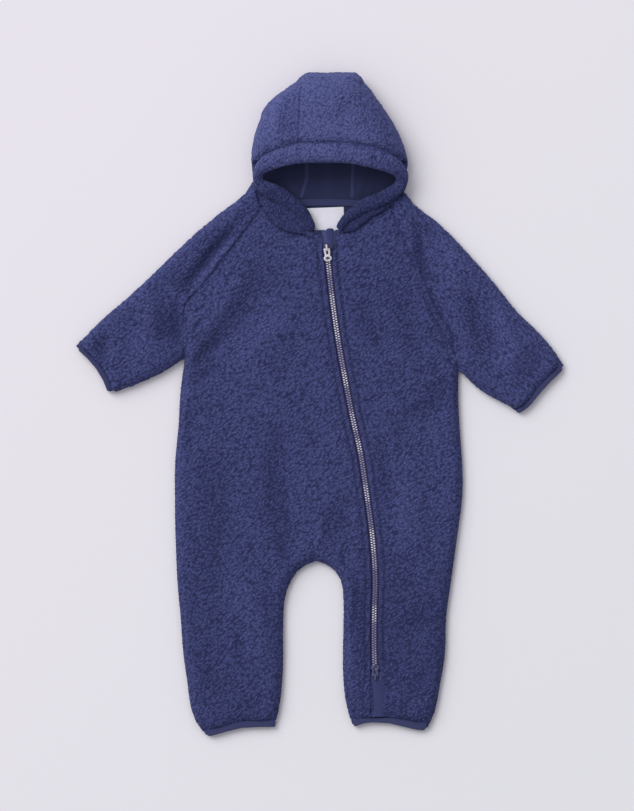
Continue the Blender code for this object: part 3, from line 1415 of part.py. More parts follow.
def main():
    clear_scene()
    fleece = material("navy_fleece", NAVY, 0.95)
    smooth_navy = material("binding", NAVY_SMOOTH, 0.85)
    body_pieces(fleece)
    sleeve_piece("right", fleece)
    sleeve_piece("left", fleece)
    hood_right(fleece)
    hood_middle(fleece)
    hood_left(fleece)
    solid("hood_casing", roll(CASING, 9.0), fleece)
    for name, rows in (("cuff_right", BIND_ARM_RIGHT), ("cuff_left", BIND_ARM_LEFT),
                       ("hem_right", BIND_LEG_RIGHT), ("hem_left", BIND_LEG_LEFT)):
        solid(name, binding(rows), smooth_navy)
    neck_trims()
    zip_guard()
    foot_strip()
    zip_parts()
    silver = material("silver", SILVER, 0.25, 1.0)
    painted = material("painted_navy", PAINTED_NAVY, 0.4, 0.3)
    slider("slider_top", SLIDER_TOP_Y, "down", silver)
    pull_tab("pull_top", SLIDER_TOP_Y, "down", PULL_LENGTH_TOP, silver)
    slider("slider_bottom", SLIDER_FOOT_Y, "up", painted)
    pull_tab("pull_bottom", SLIDER_FOOT_Y, "up", PULL_LENGTH_FOOT, painted)


main()
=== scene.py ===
import itertools
import math
from collections import namedtuple

import bmesh
import bpy
import numpy as np
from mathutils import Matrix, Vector
from mathutils.bvhtree import BVHTree
from mathutils.kdtree import KDTree


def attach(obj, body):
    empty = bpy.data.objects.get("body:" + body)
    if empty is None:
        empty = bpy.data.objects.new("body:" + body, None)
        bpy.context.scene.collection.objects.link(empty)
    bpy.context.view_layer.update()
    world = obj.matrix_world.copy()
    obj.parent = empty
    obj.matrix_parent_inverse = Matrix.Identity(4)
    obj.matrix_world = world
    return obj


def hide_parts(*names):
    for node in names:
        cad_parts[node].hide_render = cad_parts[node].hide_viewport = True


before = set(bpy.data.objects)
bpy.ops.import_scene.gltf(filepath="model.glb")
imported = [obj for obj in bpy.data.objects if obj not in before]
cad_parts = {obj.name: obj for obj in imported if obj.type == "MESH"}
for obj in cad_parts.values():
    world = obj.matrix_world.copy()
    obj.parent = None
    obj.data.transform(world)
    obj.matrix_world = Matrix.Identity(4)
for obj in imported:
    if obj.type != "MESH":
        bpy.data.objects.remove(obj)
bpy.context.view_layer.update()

MM = 0.001
GARMENT = "garment"

# ---- cloth
PILE_STEP = 1.75 * MM       # longest edge of the mesh on the pile side
UNDER_STEP = 3.0 * MM       # the same where the garment rests
REVERSE_STEP = 8.0 * MM     # the same on the smooth side, which mostly lies hidden
HOOD_STEP = 3.0 * MM        # the same inside the hood, which shows
PILE_HEIGHT = 1.0 * MM      # from the pits of the pile to its curls
PILE_RAISED = 0.5           # share of that height which stands over the cut cloth's face
CURL_WIDTH = 2.5 * MM
RIM_WIDTH = 11.0 * MM       # the cloth beside a cut edge keeps the shape that it was sewn to
SEAM_NEAR = 3.0 * MM        # closer than this to another piece, the pile closes the seam
SEAM_CLOSE = 0.12           # share of its height by which even its pits stand out there
SAME_POINT = 0.002 * MM     # points of a solid closer than this are one
LEAST_EDGE = 0.3 * MM       # points closer than this are joined
FLAT_EDGE = math.radians(25)    # thin triangles are turned where they meet at less than this
RESTING = -0.4              # a surface whose normal points down by more than this rests
RIM_LEAN = 0.3              # a turned-in rim still shows its pile while it leans less than this
HOOD_HOLLOW = 60 * MM       # the walls of the hood's hollow are no farther apart than this
SLEEVE_HOLLOW = 20 * MM     # the same for a sleeve's
LOWER_LAYER = 9 * MM        # what shows in the hood's mouth below this is its lower layer

# The steps in which a fleece piece is divided, and how often it is eased after each.
EASING = ((16 * MM, 1), (8 * MM, 3), (4 * MM, 3))
LAST_EASING = 3


def table(columns, *values):
    """A table with named columns: one named tuple for each row."""
    row = namedtuple("Row", columns)
    return [row(*value) for value in values]


# ---- finishes

WAVE_TURN = 20              # radians that a wave texture turns through in a metre, at scale 1


class Value:
    """A socket with numbers on it. Python's operators add the Math nodes that work them out."""

    def __init__(self, nodes, socket):
        self.nodes = nodes
        self.socket = socket

    def maths(self, operation, first, second):
        return self.nodes.node("ShaderNodeMath", "Value", {0: first, 1: second},
                               operation=operation)

    def __add__(self, other):
        return self.maths("ADD", self, other)

    def __sub__(self, other):
        return self.maths("SUBTRACT", self, other)

    def __rsub__(self, other):
        return self.maths("SUBTRACT", other, self)

    def __mul__(self, other):
        return self.maths("MULTIPLY", self, other)


class Nodes:
    """The nodes of one material or of the room."""

    def __init__(self, owner, shader):
        owner.use_nodes = True
        self.tree = owner.node_tree
        self.shader = self.tree.nodes[shader]

    def node(self, kind, outlet, sockets=None, **settings):
        """One outlet of a new node: its settings come first, then its sockets' values or links."""
        made = self.tree.nodes.new(kind)
        for name, value in settings.items():
            setattr(made, name, value)
        for name, value in (sockets or {}).items():
            if isinstance(value, Value):
                self.tree.links.new(value.socket, made.inputs[name])
            else:
                made.inputs[name].default_value = value
        return Value(self, made.outputs[outlet])

    def ramp(self, share, *stops):
        """A colour from a ramp with (place, colour) stops."""
        made = self.node("ShaderNodeValToRGB", "Color", {"Fac": share})
        elements = made.socket.node.color_ramp.elements
        while len(elements) < len(stops):
            elements.new(0.5)
        for element, (place, tone) in zip(elements, stops):
            element.position = place
            element.color = (*tone, 1.0)
        return made

    def feed(self, socket, value):
        self.tree.links.new(value.socket, self.shader.inputs[socket])


class Finish(Nodes):
    """One material. What never varies is set on its shader's own sockets."""

    def __init__(self, name, **fixed):
        self.material = bpy.data.materials.new(name)
        super().__init__(self.material, "Principled BSDF")
        for socket, value in fixed.items():
            self.shader.inputs[socket.replace("_", " ")].default_value = value

    def where(self):
        """Place on the piece, in metres."""
        return self.node("ShaderNodeTexCoord", "Object")

    def stored(self, name):
        """A number kept at each point of the mesh."""
        return self.node("ShaderNodeAttribute", "Fac", attribute_name=name)

    def combed(self, turn, along, across):
        """Place on the piece, measured in lengths along one heading and in widths across it."""
        sockets = {"Vector": self.where(), "Rotation": (0.0, 0.0, math.radians(turn)),
                   "Scale": (along, across, across)}
        return self.node("ShaderNodeMapping", "Vector", sockets, vector_type="TEXTURE")

    def cells(self, place, bend):
        """Distance from the middles of scattered cells one length apart, bent out of round."""
        drift = self.node("ShaderNodeTexNoise", "Color",
                          {"Scale": 0.7, "Detail": 1.0, "Vector": place})
        place = self.node("ShaderNodeVectorMath", "Vector", {0: drift, 1: (bend,) * 3, 2: place},
                          operation="MULTIPLY_ADD")
        return self.node("ShaderNodeTexVoronoi", "Distance",
                         {"Scale": 1.0, "Smoothness": 0.25, "Vector": place}, feature="SMOOTH_F1")

    def slope(self, x, y, z=0.0):
        """Distance along one heading, in metres."""
        return self.node("ShaderNodeVectorMath", "Value", {0: self.where(), 1: (x, y, z)},
                         operation="DOT_PRODUCT")

    def noise(self, size, detail=2.0):
        """Noise between 0 and 1 whose lumps are some size across."""
        return self.node("ShaderNodeTexNoise", "Fac",
                         {"Scale": 1 / size, "Detail": detail, "Vector": self.where()})

    def bands(self, size, direction, bend=0.0):
        """Even ridges between 0 and 1, one size apart, or 1.4 where they run diagonally."""
        sockets = {"Scale": 2 * math.pi / size / WAVE_TURN, "Distortion": bend,
                   "Vector": self.where()}
        return self.node("ShaderNodeTexWave", "Fac", sockets, bands_direction=direction)

    def spread(self, value, low, high, to_low=0.0, to_high=1.0):
        """A number moved from one range to another and kept inside it."""
        return self.node("ShaderNodeMapRange", "Result",
                         {"Value": value, "From Min": low, "From Max": high,
                          "To Min": to_low, "To Max": to_high})

    def paint(self, share, first, second):
        """Colour the surface between two colours."""
        mixed = self.node("ShaderNodeMix", 2, {0: share, 6: (*first, 1.0), 7: (*second, 1.0)},
                          data_type="RGBA")
        self.feed("Base Color", mixed)

    def raise_by(self, height, distance):
        """Raise the surface by a height between 0 and 1 times a distance."""
        self.feed("Normal", self.node("ShaderNodeBump", "Normal",
                                      {"Height": height, "Distance": distance}))


def colour(red, green, blue):
    """A colour as a painter reads it from a screen, turned to light."""
    return tuple(((c / 255 + 0.055) / 1.055) ** 2.4 if c > 10 else c / 255 / 12.92
                 for c in (red, green, blue))


TUFT_WIDTH = 2.25 * MM
NAVY_SHADE_TO_LIGHT = ((0.22, colour(38, 43, 82)), (0.44, colour(56, 62, 108)),
              (0.62, colour(68, 74, 124)), (0.85, colour(87, 94, 146)))


def sherpa_pile(name, lay, length):
    """Curly fleece, with painted shade in its pits and painted light on its curls: how long the
    curls are, in millimetres, and the heading in degrees along which most of them lie."""
    finish = Finish(name, Roughness=0.9, Specular_IOR_Level=0.2, Sheen_Weight=0.25,
                    Sheen_Roughness=0.5, Sheen_Tint=(*colour(150, 158, 205), 1.0))
    curl, depth = finish.stored("pile"), finish.stored("depth")
    tufts = 1.05 - finish.cells(finish.combed(lay, length * MM, TUFT_WIDTH), 1.1)
    strands = finish.noise(0.8 * MM)
    nap = finish.noise(26.0 * MM, 3.0)
    # The colour rises with the curls' height: painted shade in the pits and painted light on the
    # curls, plus the painted light and shade kept in tone and a slow random nap.
    height = curl * 0.12 + tufts * 0.76 + strands * 0.12
    level = (height - 0.5) * depth * 1.02 + 0.44 + (nap - 0.5) * 0.06 + finish.stored("tone")
    finish.feed("Base Color", finish.ramp(level, *NAVY_SHADE_TO_LIGHT))
    finish.raise_by((tufts * 0.85 + strands * 0.15) * depth, 1.5 * MM)
    return finish.material


def fleece_reverse():
    """The smooth knitted side of the fleece, which shows inside the hood."""
    finish = Finish("fleece_reverse", Roughness=0.88, Specular_IOR_Level=0.2, Sheen_Weight=0.15)
    wale = finish.bands(1.1 * MM, "X", 0.6)
    cloud = finish.noise(18.0 * MM, 3.0)
    finish.paint(cloud * 0.7 + wale * 0.3, colour(36, 41, 74), colour(50, 56, 92))
    finish.raise_by(wale * 0.5 + finish.noise(0.8 * MM) * 0.5, 0.25 * MM)
    return finish.material


def knit(name, dark, light, wale_width, roughness=0.82):
    """Smooth fine knit, with its wales as a low rib."""
    finish = Finish(name, Roughness=roughness, Specular_IOR_Level=0.25, Sheen_Weight=0.2)
    wale = finish.bands(wale_width, "DIAGONAL", 0.4)
    grain = finish.noise(1.2 * MM, 3.0)
    finish.paint(finish.spread(grain * 0.6 + wale * 0.4, 0.25, 0.75), dark, light)
    finish.raise_by(wale * 0.55 + grain * 0.45, 0.3 * MM)
    return finish.material


UNDER_PULL = (10.9 * MM, 11.2 * MM)     # painted shade below the first height, none above the second


def metal(name, tone, shade, metallic, low, high):
    """Metal with painted shade where it lies under the pull tab, and rub marks from low to high
    roughness.
    """
    finish = Finish(name, Metallic=metallic)
    finish.paint(finish.spread(finish.slope(0.0, 0.0, 1.0), *UNDER_PULL), shade, tone)
    rub = finish.noise(1.6 * MM, 4.0)
    finish.feed("Roughness", finish.spread(rub, 0.3, 0.7, low, high))
    finish.raise_by(finish.noise(2.4 * MM), 0.05 * MM)
    return finish.material


def label_weave():
    """White satin weave, with fine crossing threads."""
    finish = Finish("label_weave", Roughness=0.62, Sheen_Weight=0.1)
    weft, warp = finish.bands(0.7 * MM, "Y"), finish.bands(0.5 * MM, "X")
    finish.paint(finish.noise(9.0 * MM), colour(228, 228, 241), colour(240, 240, 249))
    finish.raise_by(weft * 0.6 + warp * 0.4, 0.08 * MM)
    return finish.material


def coil_nylon():
    """Nylon of the zip's coil: clear and lilac low down, with a painted highlight on the crowns of
    its turns.
    """
    finish = Finish("coil_nylon", Roughness=0.3)
    painted_glint = finish.stored("painted_glint") * 0.9 + finish.noise(1.4 * MM) * 0.1
    finish.feed("Base Color", finish.ramp(painted_glint, (0.0, colour(64, 62, 100)),
                                          (0.45, colour(166, 164, 194)),
                                          (0.95, colour(252, 252, 255))))
    finish.raise_by(finish.noise(0.6 * MM), 0.05 * MM)
    return finish.material


PILE = sherpa_pile("sherpa_pile", 38, 3.7)
PILE_LEFT = sherpa_pile("sherpa_pile_left", 134, 3.6)
PILE_HOOD = sherpa_pile("sherpa_pile_hood", 60, 2.7)
REVERSE = fleece_reverse()
BINDING_KNIT = knit("binding_knit", colour(46, 51, 90), colour(60, 65, 108), 1.0 * MM)
JERSEY = knit("jersey", colour(42, 50, 92), colour(56, 66, 114), 0.8 * MM)
FOOT_JERSEY = knit("foot_jersey", colour(45, 51, 94), colour(57, 63, 110), 0.9 * MM)
INSIDE_EDGE = knit("inside_edge", colour(48, 53, 92), colour(62, 68, 112), 1.2 * MM)
ZIP_TAPE = knit("zip_tape_weave", colour(56, 60, 104), colour(74, 78, 126), 0.9 * MM)
COIL_WEAVE = knit("coil_weave", colour(60, 58, 98), colour(76, 74, 116), 0.8 * MM)
THREAD = knit("navy_thread", colour(34, 38, 70), colour(50, 55, 92), 0.5 * MM, 0.6)
LABEL_WEAVE = label_weave()
COIL_NYLON = coil_nylon()
SILVER = metal("silver", colour(238, 238, 244), colour(84, 86, 108), 1.0, 0.16, 0.34)
PAINTED_NAVY = metal("painted_navy", colour(72, 76, 120), colour(42, 46, 82), 0.25, 0.3, 0.46)


# ---- meshes in numpy

def solid_of(name):
    """Points and triangles of one solid of the frame, with its doubled points joined."""
    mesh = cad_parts[name].data
    mesh.calc_loop_triangles()
    points = np.empty(len(mesh.vertices) * 3)
    mesh.vertices.foreach_get("co", points)
    triangles = np.empty(len(mesh.loop_triangles) * 3, np.int32)
    mesh.loop_triangles.foreach_get("vertices", triangles)
    points = points.reshape(-1, 3)
    rounded = np.round(points / SAME_POINT).astype(np.int64)
    _, first, number = np.unique(rounded, axis=0, return_index=True, return_inverse=True)
    triangles = number.ravel()[triangles].reshape(-1, 3)
    real = ((triangles[:, 0] != triangles[:, 1]) & (triangles[:, 1] != triangles[:, 2])
            & (triangles[:, 2] != triangles[:, 0]))
    return points[first], triangles[real]


def face_normals(points, triangles):
    """Normal of each triangle, as long as twice its area."""
    a, b, c = (points[triangles[:, k]] for k in range(3))
    return np.cross(b - a, c - a)


def unit(vectors):
    return vectors / np.maximum(np.linalg.norm(vectors, axis=1), 1e-12)[:, None]


def point_normals(points, triangles):
    faces = face_normals(points, triangles)
    total = np.zeros_like(points)
    for corner in range(3):
        for axis in range(3):
            total[:, axis] += np.bincount(triangles[:, corner], faces[:, axis], len(points))
    return unit(total)


def edges_of(triangles):
    """The three edges of each triangle, and for each the number it has among all edges."""
    pairs = np.sort(triangles[:, [[0, 1], [1, 2], [2, 0]]].reshape(-1, 2), axis=1)
    keys = pairs[:, 0].astype(np.int64) * (pairs.max() + 1) + pairs[:, 1]
    _, first, number = np.unique(keys, return_index=True, return_inverse=True)
    return pairs[first], number.reshape(-1, 3)


def divided(points, triangles, zones, limits):
    """Halve edges until none is longer than the limit of its triangle's zone."""
    while True:
        pairs, number = edges_of(triangles)
        length = np.linalg.norm(points[pairs[:, 0]] - points[pairs[:, 1]], axis=1)
        allowed = np.full(len(pairs), np.inf)
        np.minimum.at(allowed, number.ravel(), np.repeat(limits[zones], 3))
        cut = length > allowed
        if not cut.any():
            return points, triangles, zones
        longest = number[np.arange(len(number)), length[number].argmax(1)]
        while True:
            add = cut[number].any(1) & ~cut[longest]
            if not add.any():
                break
            cut[longest[add]] = True
        middle = np.cumsum(cut) - 1 + len(points)
        points = np.vstack([points, points[pairs[cut]].mean(1)])
        triangles, zones = split_triangles(triangles, zones, cut[number], middle[number])


def split_triangles(triangles, zones, cut, middle):
    """The triangles left when each cut edge gets the point in its middle."""
    count = cut.sum(1)
    made, kinds = [triangles[count == 0]], [zones[count == 0]]

    def keep(mask, *pieces):
        for corners in pieces:
            made.append(np.stack([corner[mask] for corner in corners], 1))
            kinds.append(zones[mask])

    for turn in range(3):
        a, b, c = np.roll(triangles, -turn, 1).T
        ab, bc, _ = np.roll(middle, -turn, 1).T
        keep((count == 1) & cut[:, turn], (a, ab, c), (ab, b, c))
        keep((count == 2) & ~cut[:, turn - 1], (ab, b, bc), (a, ab, bc), (a, bc, c))
    (a, b, c), (ab, bc, ca) = triangles.T, middle.T
    keep(count == 3, (a, ab, ca), (ab, b, bc), (ca, bc, c), (ab, bc, ca))
    return np.vstack(made).astype(np.int64), np.concatenate(kinds)


def eased(points, triangles, rounds, free=1.0):
    """Points moved towards the middle of their neighbours, then back out to keep their size."""
    pairs, _ = edges_of(triangles)
    a, b = pairs.T
    count = np.bincount(a, minlength=len(points)) + np.bincount(b, minlength=len(points))
    count = np.maximum(count, 1)[:, None]
    free = np.reshape(np.broadcast_to(free, len(points)), (-1, 1))
    for _ in range(rounds):
        for share in (0.5, -0.51):
            middle = np.stack([np.bincount(a, points[b, k], len(points))
                               + np.bincount(b, points[a, k], len(points))
                               for k in range(3)], 1)
            points = points + (middle / count - points) * free * share
    return points


def bmesh_of(points, triangles):
    """The same mesh, for Blender's own mesh operators."""
    mesh = bmesh.new()
    corners = [mesh.verts.new(point) for point in points]
    for triangle in triangles.tolist():
        mesh.faces.new([corners[k] for k in triangle])
    return mesh


def evened(points, triangles, zones):
    """The same surface with thin triangles turned, and points that nearly touch joined."""
    mesh = bmesh_of(points, triangles)
    for face, zone in zip(mesh.faces, zones.tolist()):
        face.material_index = zone
    bmesh.ops.remove_doubles(mesh, verts=mesh.verts, dist=LEAST_EDGE)
    mesh.normal_update()
    free = [edge for edge in mesh.edges if edge.is_manifold
            and len({face.material_index for face in edge.link_faces}) == 1
            and edge.calc_face_angle(9.0) < FLAT_EDGE]
    bmesh.ops.beautify_fill(mesh, faces=mesh.faces, edges=free)
    mesh.verts.index_update()
    points = np.array([corner.co for corner in mesh.verts])
    triangles = np.array([[corner.index for corner in face.verts] for face in mesh.faces])
    zones = np.array([face.material_index for face in mesh.faces])
    mesh.free()
    return points, triangles, zones


def corners_only_of(triangles, mask, count):
    """True for each point that only triangles of the mask touch."""
    inside, outside = np.zeros(count, bool), np.zeros(count, bool)
    inside[triangles[mask].ravel()] = True
    outside[triangles[~mask].ravel()] = True
    return inside & ~outside


def grounded(places):
    """The same places at Z = 0."""
    return np.column_stack([places[:, :2], np.zeros(len(places))])


def marks_tree(marks):
    """A tree that finds the nearest of some marks."""
    tree = KDTree(len(marks))
    for number, mark in enumerate(marks):
        tree.insert(mark, number)
    tree.balance()
    return tree


def distances_to(points, marks):
    """Distance of each point to the nearest of some marks."""
    tree = marks_tree(marks)
    return np.array([tree.find(point)[2] for point in points])


# Unit slopes spread evenly over a sphere, and the numbers that mix a place into a pick of one.
TURNS = np.arange(48) * math.pi * (3 - math.sqrt(5))
HEIGHTS = (np.arange(48) + 0.5) / 24 - 1
SLOPES = np.column_stack([np.cos(TURNS) * np.sqrt(1 - HEIGHTS ** 2),
                          np.sin(TURNS) * np.sqrt(1 - HEIGHTS ** 2), HEIGHTS])
PRIMES = np.array([73856093, 19349663, 83492791])
SEED_MIX, NUMBER_MIX = 668265263, 374761393


def lumps(points, size, seed):
    """Smooth noise, mostly between -1 and 1, whose lumps are about a size across."""
    place = points / size
    cell = np.floor(place).astype(np.int64)
    inside = place - cell
    fade = inside ** 3 * (inside * (inside * 6 - 15) + 10)
    total = np.zeros(len(points))
    for corner in itertools.product((0, 1), repeat=3):
        number = ((cell + corner) * PRIMES).sum(1) ^ (seed * SEED_MIX)
        number = ((number ^ (number >> 15)) * NUMBER_MIX) & 0x7FFFFFFF
        slope = SLOPES[(number >> 7) % len(SLOPES)]
        weight = np.where(corner, fade, 1 - fade).prod(1)
        total += weight * ((inside - corner) * slope).sum(1)
    return total * 1.7


def curls(points, seed):
    """Height of the curly pile, from 0 in its pits to 1 on the backs of its curls."""
    drift = np.stack([lumps(points, CURL_WIDTH * 1.6, seed + k) for k in (1, 2, 3)], 1)
    bent = points + drift * CURL_WIDTH * 0.6
    wide = lumps(bent, CURL_WIDTH, seed + 4)
    small = lumps(bent, CURL_WIDTH * 0.6, seed + 5)
    return np.clip(0.5 + 0.55 * wide + 0.25 * small, 0.0, 1.0)


# ---- creases placed one by one

CREASE_FADE = 1.7           # half widths from its middle at which a crease has faded out

# A bent line from start through mid to end, its half width, and how far it rises or sinks.
CREASES = table(
    "x y mid_x mid_y end_x end_y reach rise",
    (-52, 156, -104, 98, -148, 30, 13, -1.6), (-84, 150, -122, 100, -146, 66, 12, 1.0),
    (-30, 128, -70, 72, -112, 24, 15, 0.9), (-149, 2, -153, -26, -152, -58, 9, -1.2),
    (-41, -13, -51, -92, -45, -166, 13, -1.5), (27, -100, 25, -134, 14, -162, 11, -1.2),
    (1, -128, -2, -152, -4, -168, 11, 0.9), (-124, -44, -120, -130, -122, -226, 14, -1.2),
    (-92, -190, -84, -250, -88, -316, 18, 0.9), (-62, -206, -58, -240, -60, -282, 10, -0.8),
    (47, -200, 45, -236, 42, -282, 9, -1.0), (70, -34, 76, -78, 82, -126, 10, -1.2),
    (96, -60, 104, -120, 104, -176, 16, 0.8), (140, -210, 122, -244, 96, -262, 10, -0.9),
    (48, 128, 60, 92, 84, 58, 13, -1.0), (76, 150, 102, 96, 112, 40, 12, -1.1),
    (148, 26, 128, 0, 92, -18, 11, -1.3), (-87, 215, -122.5, 177, -166, 121, 7, -4.2),
    (-76, 222, -114.5, 174, -150, 131, 5.5, 2.6), (-152, 124, -158, 114, -160, 104, 4, 1.4),
    (-163, 120, -166, 94, -161, 64, 6, -2.2), (-48, -140, -42, -170, -33, -192, 7, -1.6),
    (-176, 112, -174, 86, -172, 58, 11, -1.5), (-200, 128, -206, 90, -206, 46, 14, 1.0),
    (-252, 84, -250, 66, -252, 48, 8, -1.3), (113, 202, 117, 168, 125, 134, 6, -3.4),
    (122, 142, 136, 104, 160, 68, 6, -3.2), (106, 210, 122, 203, 138, 186, 5, -1.6),
    (134, 200, 152, 166, 166, 124, 12, 0.9), (172, 128, 184, 92, 190, 44, 11, -1.3),
    (206, 116, 214, 74, 214, 30, 12, 1.0), (250, 66, 244, 44, 230, 22, 9, -1.1),
    (-150, 40, -132, 62, -112, 78, 5, -1.3), (-149, 24, -130, 36, -104, 40, 6, -1.1),
    (-152, 84, -140, 92, -122, 112, 4, -1.2), (-44, -96, -38, -130, -30, -160, 5, -1.2),
    (-6, -134, -8, -154, -10, -172, 4, -0.9), (12, -122, 8, -146, 4, -168, 5, -1.1),
    (34, -150, 30, -170, 24, -186, 4, -0.9), (-112, -70, -108, -116, -112, -160, 7, -0.8),
    (-96, -236, -92, -280, -98, -322, 7, -0.9), (-70, -232, -66, -264, -70, -300, 5, 0.8),
    (-136, -300, -120, -326, -96, -338, 6, -0.9), (44, -196, 43, -222, 40, -250, 4, -1.1),
    (34, -258, 36, -284, 34, -310, 4, 0.8), (146, -238, 132, -250, 116, -254, 5, -1.2),
    (136, -292, 118, -316, 100, -326, 6, -0.8), (84, -8, 92, -44, 96, -84, 6, -0.8),
    (120, -96, 126, -140, 122, -180, 7, -0.7), (152, 38, 138, 24, 118, 16, 5, -1.2),
    (150, 66, 138, 72, 126, 86, 4, -1.1), (96, 168, 104, 138, 106, 110, 5, -0.8),
    (-62, 182, -78, 150, -96, 128, 6, -0.8), (-20, 96, -34, 56, -40, 20, 8, -0.6),
    (-186, 118, -184, 96, -186, 70, 6, -1.1), (-214, 116, -214, 92, -218, 64, 7, -0.9),
    (-238, 84, -240, 66, -240, 48, 4, 1.0), (-262, 68, -256, 58, -252, 46, 4, -0.9),
    (164, 150, 176, 120, 180, 88, 5, -1.0), (196, 96, 202, 70, 202, 44, 6, -0.9),
    (226, 84, 224, 60, 216, 36, 6, 0.8), (258, 56, 250, 42, 240, 30, 4, -0.9),
    (166, 34, 180, 24, 196, 14, 5, -0.9),
)

# The hood's own: gathers across the casing, and soft folds over the crown.
HOOD_CREASES = table(
    "x y mid_x mid_y end_x end_y reach rise",
    (-57.5, 296, -58.5, 288, -59, 278, 4, -1.5), (-40, 301, -41, 290, -41, 277, 4, -0.8),
    (-22.7, 305, -23.5, 292, -24, 278, 3, -1.2), (23.7, 303, 25, 292, 26, 280, 4, -0.7),
    (62, 300, 63, 288, 63, 276, 4, -1.6), (76, 296, 75, 285, 73.5, 273, 4, -1.2),
    (87.5, 290, 90, 281, 91, 271, 4, -1.0), (-26, 362, -40, 336, -40, 302, 7, -1.6),
    (-30, 372, -52, 340, -54, 306, 7, 1.2), (20, 372, 28, 344, 24, 312, 9, -0.9),
    (66, 350, 74, 324, 78, 300, 6, -1.2), (-46, 236, -52, 243, -54, 252, 4, -0.8),
    (60, 232, 64, 240, 64, 248, 4, -0.8), (-38, 278, -32, 254, -24, 240, 4, 1.5),
    (50, 262, 47, 250, 44, 240, 4, 1.5), (6, 300, 14, 276, 10, 250, 7, 1.0),
)

# The same on the side that rests, where they lift the cloth a little off the floor.
BACK_CREASES = table(
    "x y mid_x mid_y end_x end_y reach rise",
    (-140, 40, -96, 20, -40, 14, 12, 1.6), (-146, -10, -100, -34, -60, -40, 10, 1.2),
    (20, 30, 78, 18, 140, 34, 13, 1.7), (60, -20, 100, -44, 146, -40, 9, 1.1),
    (-10, 190, 4, 110, 0, 40, 16, 1.0), (-30, -110, -10, -140, 0, -168, 8, 1.6),
    (36, -110, 16, -138, 4, -166, 8, 1.4), (-146, -190, -110, -206, -64, -204, 9, 1.3),
    (-140, -290, -104, -300, -60, -292, 8, 1.2), (44, -214, 84, -222, 130, -212, 10, 1.4),
    (50, -300, 86, -296, 128, -304, 8, 1.1), (-216, 110, -206, 84, -204, 56, 9, 1.2),
    (-176, 140, -172, 110, -170, 80, 10, 1.3), (190, 110, 200, 80, 198, 46, 9, 1.2),
    (160, 150, 166, 120, 168, 90, 9, 1.1),
)


def creased(points, normals, rows, facing):
    """Lift of each point by all the creases of one side of the garment."""
    lift = np.zeros(len(points))
    side = np.clip(normals[:, 2] * facing, 0.0, 1.0)
    for row in rows:
        start, mid, end = np.reshape(row[:6], (3, 2)) * MM
        share = np.linspace(0.0, 1.0, 9)[:, None]
        bend = 2 * mid - (start + end) / 2
        line = (1 - share) ** 2 * start + 2 * share * (1 - share) * bend + share ** 2 * end
        reach = row.reach * MM * CREASE_FADE
        near = ((points[:, :2] > line.min(0) - reach) & (points[:, :2] < line.max(0) + reach)
                & (side > 0)[:, None]).all(1)
        gap, along = line_distance(points[near, :2], line)
        fade = np.sin(math.pi * np.clip(along, 0.02, 0.98)) ** 0.7
        fall = np.clip(1 - gap / reach, 0.0, 1.0)
        lift[near] += row.rise * MM * fade * fall ** 2 * (3 - 2 * fall) * side[near]
    return lift


def line_distance(points, line):
    """Distance of each point to a line of points, and how far along the line that is."""
    start, run = line[:-1], np.diff(line, axis=0)
    place = ((points[:, None] - start) * run).sum(2) / (run ** 2).sum(1)
    place = np.clip(place, 0.0, 1.0)
    gap = np.linalg.norm(points[:, None] - start - run * place[..., None], axis=2)
    pick = gap.argmin(1)
    rows = np.arange(len(points))
    return gap[rows, pick], (pick + place[rows, pick]) / len(run)


# ---- pieces

def placed(name, data):
    """A new object of the scene with this mesh, lamp or camera."""
    made = bpy.data.objects.new(name, data)
    bpy.context.scene.collection.objects.link(made)
    return made


def mesh_object(name, points, triangles, finishes, kinds=None, stored=None):
    """An object from numpy arrays, with its materials and the numbers kept at its points."""
    mesh = bpy.data.meshes.new(name)
    mesh.vertices.add(len(points))
    mesh.vertices.foreach_set("co", np.ascontiguousarray(points, np.float32).ravel())
    mesh.loops.add(triangles.size)
    mesh.loops.foreach_set("vertex_index", triangles.astype(np.int32).ravel())
    mesh.polygons.add(len(triangles))
    mesh.polygons.foreach_set("loop_start", np.arange(0, triangles.size, 3, dtype=np.int32))
    for finish in finishes:
        mesh.materials.append(finish)
    if kinds is not None:
        mesh.polygons.foreach_set("material_index", kinds.astype(np.int32))
    for key, values in (stored or {}).items():
        layer = mesh.attributes.new(key, "FLOAT", "POINT")
        layer.data.foreach_set("value", values.astype(np.float32))
    mesh.update(calc_edges=True)
    mesh.shade_smooth()
    return placed(name, mesh)


def settle(made, body=GARMENT, replaced=()):
    """Say which body a piece moves with, and hide the solids that it stands for."""
    if replaced:
        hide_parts(*replaced)
    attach(made, body)


FLEECE_NODES = ("back", "front_right", "front_left", "sleeve_right", "sleeve_left",
                "hood_side_right", "hood_centre", "hood_side_left", "hood_casing")
HOOD_PANELS = FLEECE_NODES[5:8]
BINDING_NODES = ("cuff_right", "cuff_left", "hem_right", "hem_left")
SOLIDS = {name: solid_of(name) for name in FLEECE_NODES + BINDING_NODES}


def joined(names):
    """The solids of some nodes as one mesh."""
    starts = np.cumsum([0] + [len(SOLIDS[name][0]) for name in names])
    points = np.vstack([SOLIDS[name][0] for name in names])
    return points, np.vstack([SOLIDS[name][1] + start for name, start in zip(names, starts)])


def tree_of(points, triangles):
    return BVHTree.FromPolygons(points.tolist(), triangles.tolist())


CLOTH_TREE = tree_of(*joined(FLEECE_NODES + BINDING_NODES))

# The mouth of the hood, along the middle of its casing.
MOUTH = table(
    "x y",
    (-17, 215), (-27, 229), (-43, 241), (-59, 249), (-70, 256), (-72, 264), (-68, 274),
    (-37, 288), (8, 291), (55, 286), (92, 271), (96, 260), (90, 250), (72, 239), (51, 230),
    (36, 219), (24, 205),
)


